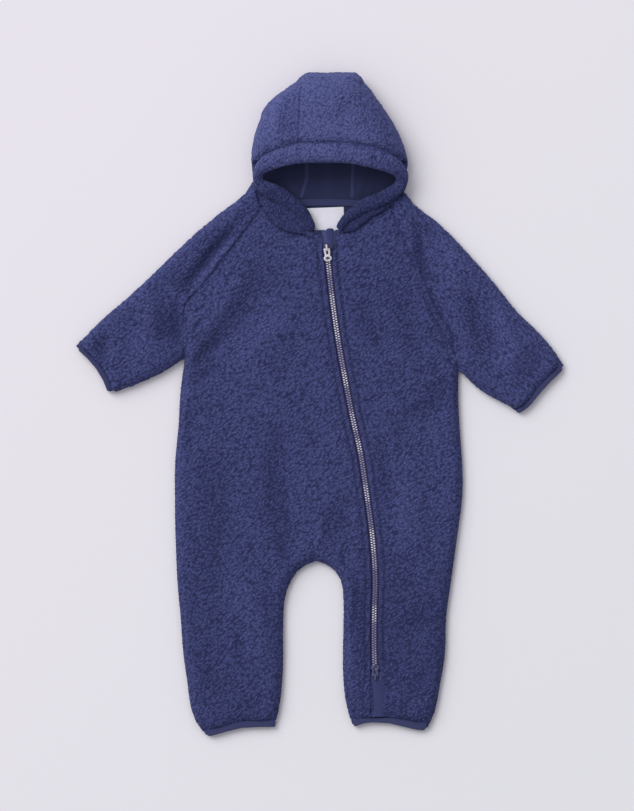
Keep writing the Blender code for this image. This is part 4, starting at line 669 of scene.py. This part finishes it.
def in_mouth(points):
    """True for each point that lies inside the mouth of the hood in plan."""
    x, y = points[:, :1] / MM, points[:, 1:2] / MM
    corners = np.array(MOUTH, float)
    x1, y1 = corners.T
    x2, y2 = np.roll(corners, -1, 0).T
    crosses = (y1 > y) != (y2 > y)
    at = x1 + (y - y1) * (x2 - x1) / np.where(y2 == y1, 1e-9, y2 - y1)
    return (crosses & (x < at)).sum(1) % 2 == 1


def covered(points, triangles, nearest, farthest):
    """True for each triangle with another wall of the same mesh at some distance over it."""
    tree = tree_of(points, triangles)
    centres = points[triangles].mean(1)
    normals = unit(face_normals(points, triangles))
    gaps = [tree.ray_cast(Vector(c + n * 0.1 * MM), Vector(n), farthest)[3]
            for c, n in zip(centres, normals)]
    return np.array([gap is not None and gap > nearest for gap in gaps])


def hood_covered():
    """For each hood panel, its triangles that face into the hood."""
    points, triangles = joined(HOOD_PANELS)
    hidden = covered(points, triangles, SEAM_NEAR, HOOD_HOLLOW)
    centres = points[triangles].mean(1)
    facing_up = unit(face_normals(points, triangles))[:, 2] > 0.2
    hidden |= facing_up & (centres[:, 2] < LOWER_LAYER) & in_mouth(centres)
    ends = np.cumsum([len(SOLIDS[name][1]) for name in HOOD_PANELS])[:-1]
    return dict(zip(HOOD_PANELS, np.split(hidden, ends)))


HOOD_INSIDE = hood_covered()


def pile_side(name, points, triangles):
    """True for each triangle of a fleece piece that shows its pile."""
    normals = unit(face_normals(points, triangles))
    if name.startswith("front"):
        return normals[:, 2] > -RIM_LEAN
    if name == "back":
        return normals[:, 2] < RIM_LEAN
    if name in HOOD_PANELS:
        return ~HOOD_INSIDE[name]
    if name.startswith("sleeve"):
        return ~covered(points, triangles, 0.0, SLEEVE_HOLLOW)
    return np.ones(len(triangles), bool)


def closeness(name, points):
    """1 where another piece of fleece touches this one, fading to 0 a little away from it."""
    tree = tree_of(*joined([other for other in FLEECE_NODES if other != name]))
    gaps = [tree.find_nearest(Vector(point), SEAM_NEAR)[3] for point in points]
    return 1 - np.array([SEAM_NEAR if gap is None else gap for gap in gaps]) / SEAM_NEAR


# Middle of the zip, from the neck down to the foot of the opening.
ZIP_LINE = table(
    "x y",
    (7.0, 198.0), (8.3, 181.0), (15.0, 121.0), (21.6, 75.0), (30.0, 28.0), (39.0, -18.0),
    (47.5, -56.0), (54.5, -102.0), (61.0, -151.0), (64.6, -200.0), (63.6, -240.0),
    (63.4, -280.0), (64.6, -318.0),
)


def curve(rows, step):
    """A smooth curve through the points of a table, in metres, its points a step apart."""
    points = np.asarray(rows, float) * MM
    knots = np.vstack([2 * points[0] - points[1], points, 2 * points[-1] - points[-2]])
    fine = [0.5 * (2 * b + (c - a) * t + (2 * a - 5 * b + 4 * c - d) * t * t
                   + (3 * b - a - 3 * c + d) * t ** 3)
            for a, b, c, d in zip(knots, knots[1:], knots[2:], knots[3:])
            for t in np.arange(0.0, 1.0, 0.1)]
    return spaced(np.array(fine + [points[-1]]), step)


def spaced(line, step):
    """The same line with evenly spaced points, its two ends kept."""
    travelled = np.concatenate([[0.0], np.cumsum(np.linalg.norm(np.diff(line, axis=0), axis=1))])
    wanted = np.linspace(0.0, travelled[-1], max(2, round(travelled[-1] / step) + 1))
    return np.stack([np.interp(wanted, travelled, column) for column in line.T], 1)


def directions(line):
    return unit(np.gradient(line, axis=0))


def beside(line, distance):
    """The line moved to its own left by a distance."""
    along = directions(line)
    return line + np.stack([-along[:, 1], along[:, 0]], 1) * distance


ZIP_MIDDLE = curve(ZIP_LINE, 1 * MM)
WELT_STITCH = 10.8 * MM     # the stitching beside the zip runs this far from its middle

# How deep the pile is at a distance from the zip's middle, in millimetres: it is pressed flat on
# the welts, which are stitched down.
WELT_PILE = table("gap depth", (4.8, 0.4), (6.0, 0.65), (8.5, 0.9), (11.0, 1.0))


# Two corners of a box, in plan, that holds the welts. Only points inside it are measured.
WELT_BOX = np.array(((-24, -400), (96, 205))) * MM


def pile_depth(points):
    """How deep the pile is at each point: full, but lower on the welts of the zip."""
    gap = np.full(len(points), 1.0)
    near = ((points[:, :2] > WELT_BOX[0]) & (points[:, :2] < WELT_BOX[1])).all(1)
    gap[near] = distances_to(grounded(points[near]), grounded(ZIP_MIDDLE))
    return np.interp(gap / MM, *zip(*WELT_PILE))


def zip_run(low_y, high_y):
    """The zip's middle line between two heights on the garment, in millimetres."""
    return ZIP_MIDDLE[(ZIP_MIDDLE[:, 1] > low_y * MM) & (ZIP_MIDDLE[:, 1] < high_y * MM)]


def welt_line(side, low_y):
    """Points of the line of stitching on one side of the zip, down to some Y, in millimetres."""
    return beside(zip_run(low_y, 190), side * WELT_STITCH)[::15] / MM


# Seams, and how each shows in the pile: how far it pulls the pile down, to what distance on each
# side, and how much painted shade darkens it. Where two pieces meet, their turned-in edges lie in a
# bank, which is sunk a little under the lower side. A line of stitches has none.
LOW, HIGH = np.fmin, np.fmax    # a bank lies by the lower or by the higher side of its seam
SEAMS = table(
    "by sink dip reach shade points",
    (LOW, 0.8, 1.0, 3.2, 0.26, ((-68, 228), (-80, 210), (-94, 191.5), (-111, 170), (-128, 147.5),
     (-144, 129), (-156, 114), (-158, 90))),
    (LOW, 0.8, 1.0, 3.2, 0.26, ((83, 227), (93.5, 200), (103.5, 178), (116, 145), (126, 120),
     (137, 99), (149, 81), (157, 58))),
    (LOW, 0.9, 1.0, 3.2, 0.16, ((-67, 229), (-57.5, 214), (-49.5, 205.5), (-39, 199.8), (-25, 197.3),
     (-10, 196.6))),
    (LOW, 0.9, 1.0, 3.2, 0.16, ((82, 228), (66, 220), (53, 210.5), (45, 203), (37, 199.4),
     (24, 198.6))),
    (LOW, 1.2, 0.9, 2.6, 0.20, ((-24.5, 304), (-23.5, 330), (-22.4, 358), (-20.5, 371))),
    (LOW, 1.0, 0.5, 2.4, 0.08, ((60, 300), (52.5, 322), (47.6, 345), (46.6, 368))),
    (HIGH, 3.0, 3.0, 11.0, 0.10, ((-75, 286), (-56, 293), (-42, 299.5), (-24.5, 303), (8, 304),
     (36, 303), (61, 298.2), (74, 294.5), (89, 288.5), (97, 284))),
    (LOW, 1.2, 0.9, 4.0, 0.16, ((-72, 243), (-50, 232.5), (-33, 223), (-15, 201))),
    (LOW, 1.2, 0.9, 4.0, 0.16, ((98, 246), (74, 230), (44.5, 216), (28.5, 202))),
    (LOW, 0.9, 0.6, 3.0, 0.10, ((-72.6, 258), (-71.8, 248), (-68.5, 230))),
    (LOW, 0.9, 0.6, 3.0, 0.10, ((95, 240), (90, 234), (83.6, 228.2))),
    (LOW, 0.4, 2.2, 5.5, 0.08, ((-279, 71), (-268, 59.4), (-257.5, 48.6), (-250.2, 39),
     (-243.8, 27.5), (-239.4, 16.5))),
    (LOW, 0.4, 2.2, 5.5, 0.08, ((227.4, -6), (238, 1.6), (249, 15.2), (259.5, 28), (270, 38.6),
     (280, 48.6))),
    (LOW, 0.4, 2.2, 5.5, 0.08, ((-133, -379), (-117.7, -373.8), (-100, -368.4), (-84, -365.8),
     (-64.4, -366), (-51.3, -366.6))),
    (LOW, 0.4, 2.2, 5.5, 0.08, ((37, -365.8), (53.2, -363.4), (70.9, -362.2), (88, -363.2),
     (108, -366.4), (126.5, -370.2))),
    (HIGH, 0.9, 0.0, 2.0, 0.0, ((-15, 198), (-6, 197.6), (4.4, 197.8))),
    (HIGH, 0.9, 0.0, 2.0, 0.0, ((18.2, 198), (23, 198.2), (28, 198.6))),
    (HIGH, 1.3, 0.0, 2.0, 0.12, ((58, -322), (58.4, -340), (58.8, -362))),
    (HIGH, 1.3, 0.0, 2.0, 0.16, ((73.6, -315), (76.4, -326), (78.2, -337), (76.6, -362))),
    (LOW, None, 0.8, 2.2, 0.30, welt_line(1, -316)),
    (LOW, None, 0.6, 2.2, 0.20, welt_line(-1, -340)),
)

SEAM_LINES = [curve(row.points, 1 * MM) for row in SEAMS]
SEAM_ROWS = np.repeat(np.arange(len(SEAMS)), [len(line) for line in SEAM_LINES])
SEAM_TREE = marks_tree(grounded(np.vstack(SEAM_LINES)))
SEAM_LINE = 2.4 * MM        # the dark line on a seam fades out this far from it
CASING_SWELL = -0.3         # share of that pull: the casing's roll swells beside the seam
SEAM_SIZES = np.array([(row.dip * MM, row.reach * MM, row.shade) for row in SEAMS])


def seam_pull(points):
    """How far the nearest seam pulls each point down, and how much painted shade darkens it there.
    """
    found = [SEAM_TREE.find(point) for point in grounded(points)]
    dip, reach, shade = SEAM_SIZES[SEAM_ROWS[[hit[1] for hit in found]]].T
    gap = np.array([hit[2] for hit in found])
    share = np.clip(1 - gap / reach, 0.0, 1.0)
    return dip * share ** 2, shade * np.clip(1 - gap / SEAM_LINE, 0.0, 1.0)


# Painted light and shade on each piece, along its Y in millimetres: lighter on the hood and the
# casing's top, darker down the legs and on the lapels, as the light falls.
PIECE_PAINTED_LIGHT = {
    "front_right": ((-260, -120), (-0.07, -0.01)),
    "front_left": ((-260, -120), (-0.12, -0.02)),
    "sleeve_left": ((0, 200), (0.0, 0.01)),
    "hood_side_right": ((215, 240, 300), (-0.16, -0.08, 0.19)),
    "hood_centre": ((300, 380), (0.29, 0.23)),
    "hood_side_left": ((215, 240, 300), (-0.22, -0.13, 0.16)),
    "hood_casing": ((215, 240, 262, 285), (-0.24, -0.15, 0.02, 0.22)),
}
CREASE_PAINTED_SHADE = 0.09          # painted shade for each millimetre of a trough's depth, painted light likewise on a ridge

TOP, UNDER, SMOOTH = 0, 1, 2
SURFACES = {}


def pile_of(name):
    """The finish of a fleece piece, whose curls lie as the piece does."""
    if name.startswith("hood"):
        return PILE_HOOD
    return PILE_LEFT if name == "sleeve_left" else PILE


# The hood's crown stands in two soft corners, which the easing has rounded off: each is drawn out
# again in plan.
CROWN_CORNERS = table(
    "x y reach right up",
    (-15.0, 380.0, 13, -3.4, 0.2),
    (42.0, 381.0, 12, 3.0, 0.0),
)


def crowned(points):
    """The points of the hood with its crown's corners drawn out."""
    for row in CROWN_CORNERS:
        gap = np.hypot(points[:, 0] / MM - row.x, points[:, 1] / MM - row.y) / row.reach
        share = np.clip(1 - gap, 0.0, 1.0)[:, None]
        points = points + share * (2 - share) * (row.right * MM, row.up * MM, 0.0)
    return points


def fleece_piece(row, seed):
    """One cut piece of fleece as a shell: eased, creased and covered with its pile."""
    name = row.node
    points, triangles = SOLIDS[name]
    pile = pile_side(name, points, triangles)
    down = unit(face_normals(points, triangles))[:, 2] < RESTING
    zones = np.where(pile, np.where(down, UNDER, TOP), SMOOTH)
    reverse = HOOD_STEP if name in HOOD_PANELS else REVERSE_STEP
    for step, rounds in EASING:
        points, triangles, zones = evened(points, triangles, zones)
        points, triangles, zones = divided(points, triangles, zones,
                                           np.maximum((step, step, reverse), step))
        inner = corners_only_of(triangles, zones != SMOOTH, len(points))
        marks = points[~inner & ~corners_only_of(triangles, zones == SMOOTH, len(points))]
        # The rim between the pile and the smooth side stays, and what is near it moves less.
        room = distances_to(points, marks) if len(marks) else np.full(len(points), RIM_WIDTH)
        points = eased(points, triangles, rounds, np.clip(room / RIM_WIDTH, 0.0, 1.0) ** 2)
    points, triangles, zones = evened(points, triangles, zones)
    limits = np.array([PILE_STEP, UNDER_STEP, reverse])
    points, triangles, zones = divided(points, triangles, zones, limits)
    points = eased(points, triangles, LAST_EASING)
    if name in HOOD_PANELS:
        points = crowned(points)
    normals = point_normals(points, triangles)
    upward = np.clip(normals[:, 2] * 2, 0.0, 1.0)
    dip, shade = seam_pull(points)
    if name == "hood_casing":
        dip *= CASING_SWELL
    lift = creased(points, normals, HOOD_CREASES if name.startswith("hood") else CREASES, 1.0)
    # tone is painted light and shade: by piece along Y, painted shade on seams and in troughs,
    # painted light on ridges.
    tone = (np.interp(points[:, 1] / MM, *PIECE_PAINTED_LIGHT.get(name, ((0, 1), (0, 0))))
            - shade * upward + lift / MM * CREASE_PAINTED_SHADE)
    points[:, 2] += lift - dip * upward
    if not name.startswith("hood"):
        points[:, 2] += creased(points, normals, BACK_CREASES, -1.0)
    normals = point_normals(points, triangles)
    hairy = np.zeros(len(points))
    hairy[triangles[zones != SMOOTH].ravel()] = 1.0
    depth = pile_depth(points)
    curl = 0.5 + (curls(points, seed) - 0.5) * depth
    # On the side that rests, the curls reach the face of the cut cloth and don't stand out.
    raised = np.where(normals[:, 2] < RESTING, -1.0, PILE_RAISED - 1.0) + curl
    close = closeness(name, points)
    raised += (SEAM_CLOSE + 0.5 * curl - raised) * close
    points = points + normals * (raised * PILE_HEIGHT * hairy)[:, None]
    points[:, 2] = np.maximum(points[:, 2], 0.0)
    made = mesh_object(name + "_cloth", points, triangles, [pile_of(name), REVERSE],
                       zones == SMOOTH, {"pile": curl, "depth": depth, "tone": tone})
    SURFACES[name] = (points, triangles)
    settle(made, replaced=[row.node])


def trim_piece(row):
    """A smooth trim as a thin shell on its solid: divided finely and eased."""
    points, triangles = solid_of(row.node)
    zones = np.zeros(len(triangles), int)
    points, triangles, zones = divided(points, triangles, zones, np.array([row.step * MM]))
    points = eased(points, triangles, row.rounds)
    end = points[:, 1] < points[:, 1].min() + 3 * MM
    points[end, 1] -= row.tail * MM
    made = mesh_object(row.name, points, triangles, [row.finish])
    settle(made, replaced=[row.node])


def bead(length, width, height, around=10, rings=6):
    """A closed rounded bead that lies along X: points and triangles."""
    turn = np.arange(around) * 2 * math.pi / around
    points = [(-length / 2, 0.0, 0.0)]
    for ring in range(1, rings):
        share = math.pi * ring / rings
        swell = math.sin(share) ** 0.6
        x = -math.cos(share) * length / 2
        points += [(x, math.cos(t) * swell * width / 2, math.sin(t) * swell * height / 2)
                   for t in turn]
    points.append((length / 2, 0.0, 0.0))
    last = len(points) - 1
    triangles = []
    for k in range(around):
        n = (k + 1) % around
        triangles.append((0, 1 + n, 1 + k))
        triangles.append((last, last - around + k, last - around + n))
        for ring in range(rings - 2):
            a, b = 1 + ring * around, 1 + (ring + 1) * around
            triangles += [(a + k, a + n, b + k), (a + n, b + n, b + k)]
    return np.array(points), np.array(triangles)


def copies(shape, places, angles):
    """Copies of a small shape at some places, each turned about +Z, as one mesh."""
    points, triangles = shape
    cosine, sine = np.cos(angles)[:, None], np.sin(angles)[:, None]
    x, y, z = points.T
    turned = np.stack([x * cosine - y * sine, x * sine + y * cosine,
                       np.broadcast_to(z, (len(places), len(z)))], 2)
    spread = (turned + places[:, None]).reshape(-1, 3)
    steps = np.arange(len(places))[:, None, None] * len(points)
    return spread, (triangles + steps).reshape(-1, 3)


def strip(line, profile):
    """A closed strip: a rounded section (across, up) swept along a line of 3-D points."""
    along = unit(np.gradient(line, axis=0) * (1, 1, 0))
    across = np.stack([-along[:, 1], along[:, 0], np.zeros(len(line))], 1)
    profile = np.asarray(profile, float) * MM
    points = (line[:, None] + across[:, None] * profile[None, :, :1]
              + np.array((0, 0, 1.0)) * profile[None, :, 1:]).reshape(-1, 3)
    size, count = len(profile), len(line)
    k = np.arange(size)
    n = (k + 1) % size
    row = (np.arange(count - 1) * size)[:, None]
    sides = np.concatenate([np.stack([row + k, row + n, row + size + k], 2).reshape(-1, 3),
                            np.stack([row + n, row + size + n, row + size + k], 2)
                            .reshape(-1, 3)])
    fan = np.arange(1, size - 1)
    start = np.stack([np.zeros_like(fan), fan + 1, fan], 1)
    end = np.stack([np.zeros_like(fan), fan, fan + 1], 1) + (count - 1) * size
    return points, np.concatenate([sides, start, end])[:, ::-1]


def gathered(parts):
    """Several meshes as one."""
    starts = np.cumsum([0] + [len(points) for points, _ in parts])
    return (np.vstack([points for points, _ in parts]),
            np.vstack([triangles + start for (_, triangles), start in zip(parts, starts)]))


def height_at(tree, spots, over=90 * MM):
    """Height of the first surface under each plan point, and NaN where there is none."""
    found = [tree.ray_cast(Vector((x, y, over)), Vector((0, 0, -1)))[0] for x, y in spots]
    return np.array([np.nan if hit is None else hit.z for hit in found])


# The section of a bank, and its painted light and shade along its Y in millimetres: darker on the
# legs, lighter on the hood.
BANK = ((-4.5, -1.6), (-3.8, -0.5), (-1.5, 0.1), (1.5, 0.1), (3.8, -0.5), (4.5, -1.6))
BANK_PAINTED_LIGHT = ((-150, 235, 280), (-0.08, -0.05, 0.2))
SEAM_STEP = 2.5 * MM
SEAM_LOOK = 3.5 * MM        # the cloth's height is taken this far to each side of a seam
RIDGE_LOOK = 1.5 * MM       # and this far to each side of a seam inside the hood
IN_HOLLOW = 16 * MM         # a height inside the hood's hollow, over its lower layer


def seam_banks():
    """The turned-in edges under all seams of the fleece, as one piece."""
    parts = []
    for row in SEAMS:
        if row.sink is None:
            continue
        line = curve(row.points, SEAM_STEP)
        sides = [height_at(CLOTH_TREE, beside(line, side)) for side in (-SEAM_LOOK, SEAM_LOOK)]
        height = row.by(*sides) - row.sink * MM
        known = ~np.isnan(height)
        height = np.interp(np.arange(len(line)), np.flatnonzero(known), height[known])
        height = np.convolve(np.pad(height, 2, "edge"), np.full(5, 0.2), "valid")
        parts.append(strip(np.column_stack([line, height]), BANK))
    points, triangles = gathered(parts)
    # The banks take the same painted light and shade along Y as the pieces beside them.
    stored = {"pile": np.full(len(points), 0.5), "depth": np.full(len(points), 0.85),
              "tone": np.interp(points[:, 1] / MM, *BANK_PAINTED_LIGHT)}
    settle(mesh_object("seam_edges", points, triangles, [PILE], None, stored))


# Inside seams of the hood on the layer that lies on the floor, with their flattened edges.
INSIDE_SEAMS = (
    ((-14.2, 300), (-14.6, 280), (-15, 262), (-18, 250), (-21.5, 239)),
    ((40.4, 300), (39.4, 280), (38.5, 262), (38.3, 250), (38.5, 239)),
)
RIDGE = ((-2.6, -0.6), (-2.3, 0.35), (-0.9, 0.75), (0.0, 0.45), (0.9, 0.75), (2.3, 0.35),
         (2.6, -0.6))


def inside_ridges():
    """The flattened edges of the two seams seen inside the hood."""
    parts = []
    for rows in INSIDE_SEAMS:
        line = curve(rows, SEAM_STEP)
        sides = [height_at(CLOTH_TREE, beside(line, side), IN_HOLLOW)
                 for side in (-RIDGE_LOOK, RIDGE_LOOK)]
        parts.append(strip(np.column_stack([line, np.fmax(*sides)]), RIDGE))
    settle(mesh_object("hood_inside_seams", *gathered(parts), [INSIDE_EDGE]))


STITCH = bead(2.5 * MM, 0.55 * MM, 0.5 * MM, 6, 4)
STITCH_PITCH, STITCH_SINK = 3.1 * MM, 0.05 * MM
STITCHED = (-300, 192)      # Y of the two ends of the stitching


def welt_stitches():
    """The two rows of single stitches beside the zip, as one piece."""
    fronts = tree_of(*gathered([SURFACES["front_right"], SURFACES["front_left"]]))
    parts = []
    for side in (1, -1):
        line = spaced(beside(zip_run(*STITCHED), side * WELT_STITCH), STITCH_PITCH)
        height = height_at(fronts, line)
        known = ~np.isnan(height)
        along = directions(line)
        parts.append(copies(STITCH, np.column_stack([line, height - STITCH_SINK])[known],
                            np.arctan2(along[:, 1], along[:, 0])[known]))
    settle(mesh_object("welt_stitches", *gathered(parts), [THREAD]))


# ---- the cloth

# The cut of each fleece piece: its width, its length and its flat area in square metres.
FLEECE_CUTS = table(
    "node width length area rests_on",
    ("back", 0.335, 0.640, 0.1670, ()),
    ("front_right", 0.230, 0.620, 0.1060, ("back",)),
    ("front_left", 0.155, 0.610, 0.0620, ("back",)),
    ("sleeve_right", 0.215, 0.245, 0.0380, ()),
    ("sleeve_left", 0.215, 0.260, 0.0420, ()),
    ("hood_side_right", 0.125, 0.185, 0.0165, ()),
    ("hood_centre", 0.085, 0.270, 0.0190, ()),
    ("hood_side_left", 0.125, 0.185, 0.0155, ()),
    ("hood_casing", 0.032, 0.480, 0.0130, HOOD_PANELS),
)

for number, row in enumerate(FLEECE_CUTS):
    fleece_piece(row, 20 * number)
seam_banks()
inside_ridges()

# The trims: how finely each is divided and eased, how far its lower end is drawn out under the
# fronts, and its cut, as for the fleece. The bindings' cut is the band that shows.
TRIMS = table(
    "name node finish slot step rounds tail width length area rests_on",
    ("cuff_right_knit", "cuff_right", BINDING_KNIT, "binding", 1.3, 3, 0, 0.010, 0.138, 0.00108, ()),
    ("cuff_left_knit", "cuff_left", BINDING_KNIT, "binding", 1.3, 3, 0, 0.010, 0.158, 0.00111, ()),
    ("hem_right_knit", "hem_right", BINDING_KNIT, "binding", 1.3, 3, 0, 0.010, 0.173, 0.00128, ()),
    ("hem_left_knit", "hem_left", BINDING_KNIT, "binding", 1.3, 3, 0, 0.010, 0.185, 0.00137, ()),
    ("guard_jersey", "zip_guard", JERSEY, "jersey", 1.3, 9, 0,
     0.012, 0.023, None, ("zip_tape_right", "zip_tape_left")),
    ("foot_strip_jersey", "zip_foot_strip", FOOT_JERSEY, "jersey", 1.3, 6, 0,
     0.0155, 0.043, None, ("back",)),
    ("neck_tape_knit", "neck_tape", BINDING_KNIT, "binding", 1.3, 1, 0,
     0.0105, 0.119, 0.00101, ("back",)),
    ("label_cloth", "label", LABEL_WEAVE, "label_weave", 1.3, 1, 6, 0.0345, 0.0437, None, ("back",)),
    ("zip_tape_right_weave", "zip_tape_right", ZIP_TAPE, "zip_tape", 3.0, 1, 0,
     0.0133, 0.511, None, ("back",)),
    ("zip_tape_left_weave", "zip_tape_left", ZIP_TAPE, "zip_tape", 3.0, 1, 0,
     0.0133, 0.511, None, ("back",)),
)

for row in TRIMS:
    trim_piece(row)


# The ends of the zip's tapes, turned in flat beside the guard and beside the foot strip: the
# middle line of each, and half its width. The sides slope down over the bevel's width.
TAPE_BEVEL = 0.6
TAPE_ENDS = table(
    "half points",
    (8.0, ((11.2, 201.6, 9.6), (10, 190, 9.8), (8.5, 181.5, 9.8))),
    (9.0, ((67, -310.5, 9.6), (68, -320, 9.6), (69, -331, 9.6))),
)


def tape_ends():
    """The turned-in ends of the tapes, as one piece."""
    parts = []
    for row in TAPE_ENDS:
        flat = row.half - TAPE_BEVEL
        section = ((-row.half, -0.5), (-flat, 0.0), (flat, 0.0), (row.half, -0.5))
        parts.append(strip(np.array(row.points) * MM, section))
    settle(mesh_object("zip_tape_ends", *gathered(parts), [ZIP_TAPE]))


tape_ends()
welt_stitches()

# ---- the zip

TOOTH = bead(2.4 * MM, 1.5 * MM, 1.8 * MM)
TOOTH_PITCH = 2.9 * MM
TOOTH_HEIGHT = 8.6 * MM
TOOTH_CROWN = (0.15, 0.45)      # a painted highlight on the crown, rising between these heights over the middle
TOOTH_ASIDE = 1.45 * MM
TOOTH_SLANT = math.radians(8)
CHAIN_RUN = (-316.8, 185.4)     # Y of the chain's two ends
COIL_BED = ((-4.3, 7.2), (-3.8, 7.8), (-0.8, 8.8), (0.8, 8.8), (3.8, 7.8), (4.3, 7.2))

# Painted highlight on the crowns of the coil, where it catches the light along its slow waves: how
# bright, evenly from one Y to the next, with a slope between one row and the row after it.
COIL_PAINTED_GLINT = table(
    "low high share",
    (-300, -286, 0.5), (-283, -254, 0.3), (-250, -236, 0.9), (-231, -193, 0.2), (-188, -173, 0.6),
    (-168, -147, 1.0), (-142, -114, 0.35), (-110, -96, 0.9), (-90, -58, 0.4), (-53, -42, 0.9),
    (-38, -33, 0.35), (-29, -11, 0.85), (-7, 19, 0.4), (23, 36, 1.0), (42, 72, 0.5),
    (78, 126, 1.0), (130, 149, 0.45), (155, 186, 0.9),
)


def zip_coil():
    """The two rows of coil, turn by turn, and the woven bed between them."""
    line = spaced(zip_run(*CHAIN_RUN), TOOTH_PITCH / 2)
    run = directions(line)
    parts = []
    for side, first in ((1, 0), (-1, 1)):
        spots = beside(line, side * TOOTH_ASIDE)[first::2]
        angles = (np.arctan2(run[:, 1], run[:, 0]) + math.pi / 2 + side * TOOTH_SLANT)[first::2]
        places = np.column_stack([spots, np.full(len(spots), TOOTH_HEIGHT)])
        parts.append(copies(TOOTH, places, angles))
    points, triangles = gathered(parts)
    # Painted highlight: lighter on the crowns of the turns, and more so where the coil catches the
    # light along its length.
    crown = np.interp((points[:, 2] - TOOTH_HEIGHT) / MM, TOOTH_CROWN, (0.1, 1.0))
    lows, highs, shares = zip(*COIL_PAINTED_GLINT)
    painted_glint = crown * np.interp(points[:, 1] / MM, np.column_stack([lows, highs]).ravel(),
                              np.repeat(shares, 2))
    made = mesh_object("zip_coil", points, triangles, [COIL_NYLON], None, {"painted_glint": painted_glint})
    settle(made, replaced=["zip_chain"])
    bed = strip(grounded(spaced(line, 4 * MM)), COIL_BED)
    settle(mesh_object("zip_coil_bed", *bed, [COIL_WEAVE]))


ONE_FACE = math.radians(2)      # faces that meet at less than this are joined to one
SHARP_EDGE = math.radians(38)


def hard_piece(name, node, finish, slot, body, bevel):
    """A hard piece as its solid with its sharp edges rounded."""
    mesh = bmesh_of(*solid_of(node))
    mesh.normal_update()
    bmesh.ops.dissolve_limit(mesh, angle_limit=ONE_FACE, verts=mesh.verts, edges=mesh.edges)
    sharp = [edge for edge in mesh.edges
             if edge.is_manifold and edge.calc_face_angle(0) > SHARP_EDGE]
    bmesh.ops.bevel(mesh, geom=sharp, offset=bevel, segments=2, profile=0.6, affect="EDGES",
                    clamp_overlap=True)
    data = bpy.data.meshes.new(name)
    mesh.to_mesh(data)
    mesh.free()
    data.materials.append(finish)
    data.shade_smooth()
    settle(placed(name, data), body, [node])


zip_coil()
for row in table(
    "name node finish slot body bevel",
    ("slider_top_metal", "slider_top", SILVER, "silver", GARMENT, 0.2 * MM),
    ("pull_top_metal", "pull_top", SILVER, "silver", "top_pull", 0.16 * MM),
    ("slider_foot_metal", "slider_bottom", PAINTED_NAVY, "painted_navy", GARMENT, 0.2 * MM),
    ("pull_foot_metal", "pull_bottom", PAINTED_NAVY, "painted_navy", "foot_pull", 0.16 * MM),
):
    hard_piece(*row)


# ---- floor, light and camera

FLOOR_HALF, FLOOR_DROP = 6.0, 0.3 * MM


def floor():
    """A wide pale floor just under the garment."""
    finish = Finish("floor_paint", Roughness=0.9, Specular_IOR_Level=0.1)
    # Painted light: the floor is lighter towards the upper left, where the light comes from, with a
    # faint random mottle.
    across = finish.spread(finish.slope(0.7, -0.7) + finish.noise(0.5) * 0.06, -0.4, 0.5)
    finish.paint(across, colour(238, 235, 242), colour(229, 230, 235))
    corners = np.array([(-1, -1, 0), (1, -1, 0), (1, 1, 0), (-1, 1, 0)]) * FLOOR_HALF
    mesh_object("floor", corners - (0, 0, FLOOR_DROP), np.array([(0, 1, 2), (0, 2, 3)]),
                         [finish.material])


WINDOW = Vector((-1.0, 1.0, 1.25)).normalized()


def daylight():
    """Even soft light from one side, as from a wide window."""
    lamp = bpy.data.lights.new("daylight", "SUN")
    lamp.energy = 1.75
    lamp.angle = math.radians(42)
    lamp.color = (1.0, 0.988, 0.98)
    placed("daylight", lamp).rotation_euler = WINDOW.to_track_quat("Z", "Y").to_euler()


PICTURE = (634, 811)
SCALE = 1.16 * MM           # length on the garment for one pixel of the picture
VIEW_CENTRE = (-2.9 * MM, -1.2 * MM)
VIEW_HEIGHT = 8.0
SENSOR = 36.0


def overhead_camera():
    """Straight overhead, with the whole picture as wide as the garment's scale says."""
    lens = bpy.data.cameras.new("overhead")
    lens.sensor_width = SENSOR
    lens.lens = SENSOR * VIEW_HEIGHT / (PICTURE[1] * SCALE)
    made = placed("overhead", lens)
    made.location = (*VIEW_CENTRE, VIEW_HEIGHT)
    bpy.context.scene.camera = made


def room():
    """Light from all round, brighter from the side where the window is."""
    world = bpy.data.worlds.new("room")
    nodes = Nodes(world, "Background")
    heading = nodes.node("ShaderNodeTexCoord", "Generated")
    towards = nodes.node("ShaderNodeVectorMath", "Value", {0: heading, 1: WINDOW},
                         operation="DOT_PRODUCT")
    nodes.feed("Color", nodes.ramp(towards, (0.0, (0.42, 0.41, 0.45)), (1.0, (1.0, 0.985, 1.0))))
    nodes.shader.inputs["Strength"].default_value = 0.82
    bpy.context.scene.world = world


floor()
daylight()
room()
overhead_camera()
bpy.context.scene.view_settings.view_transform = "Standard"
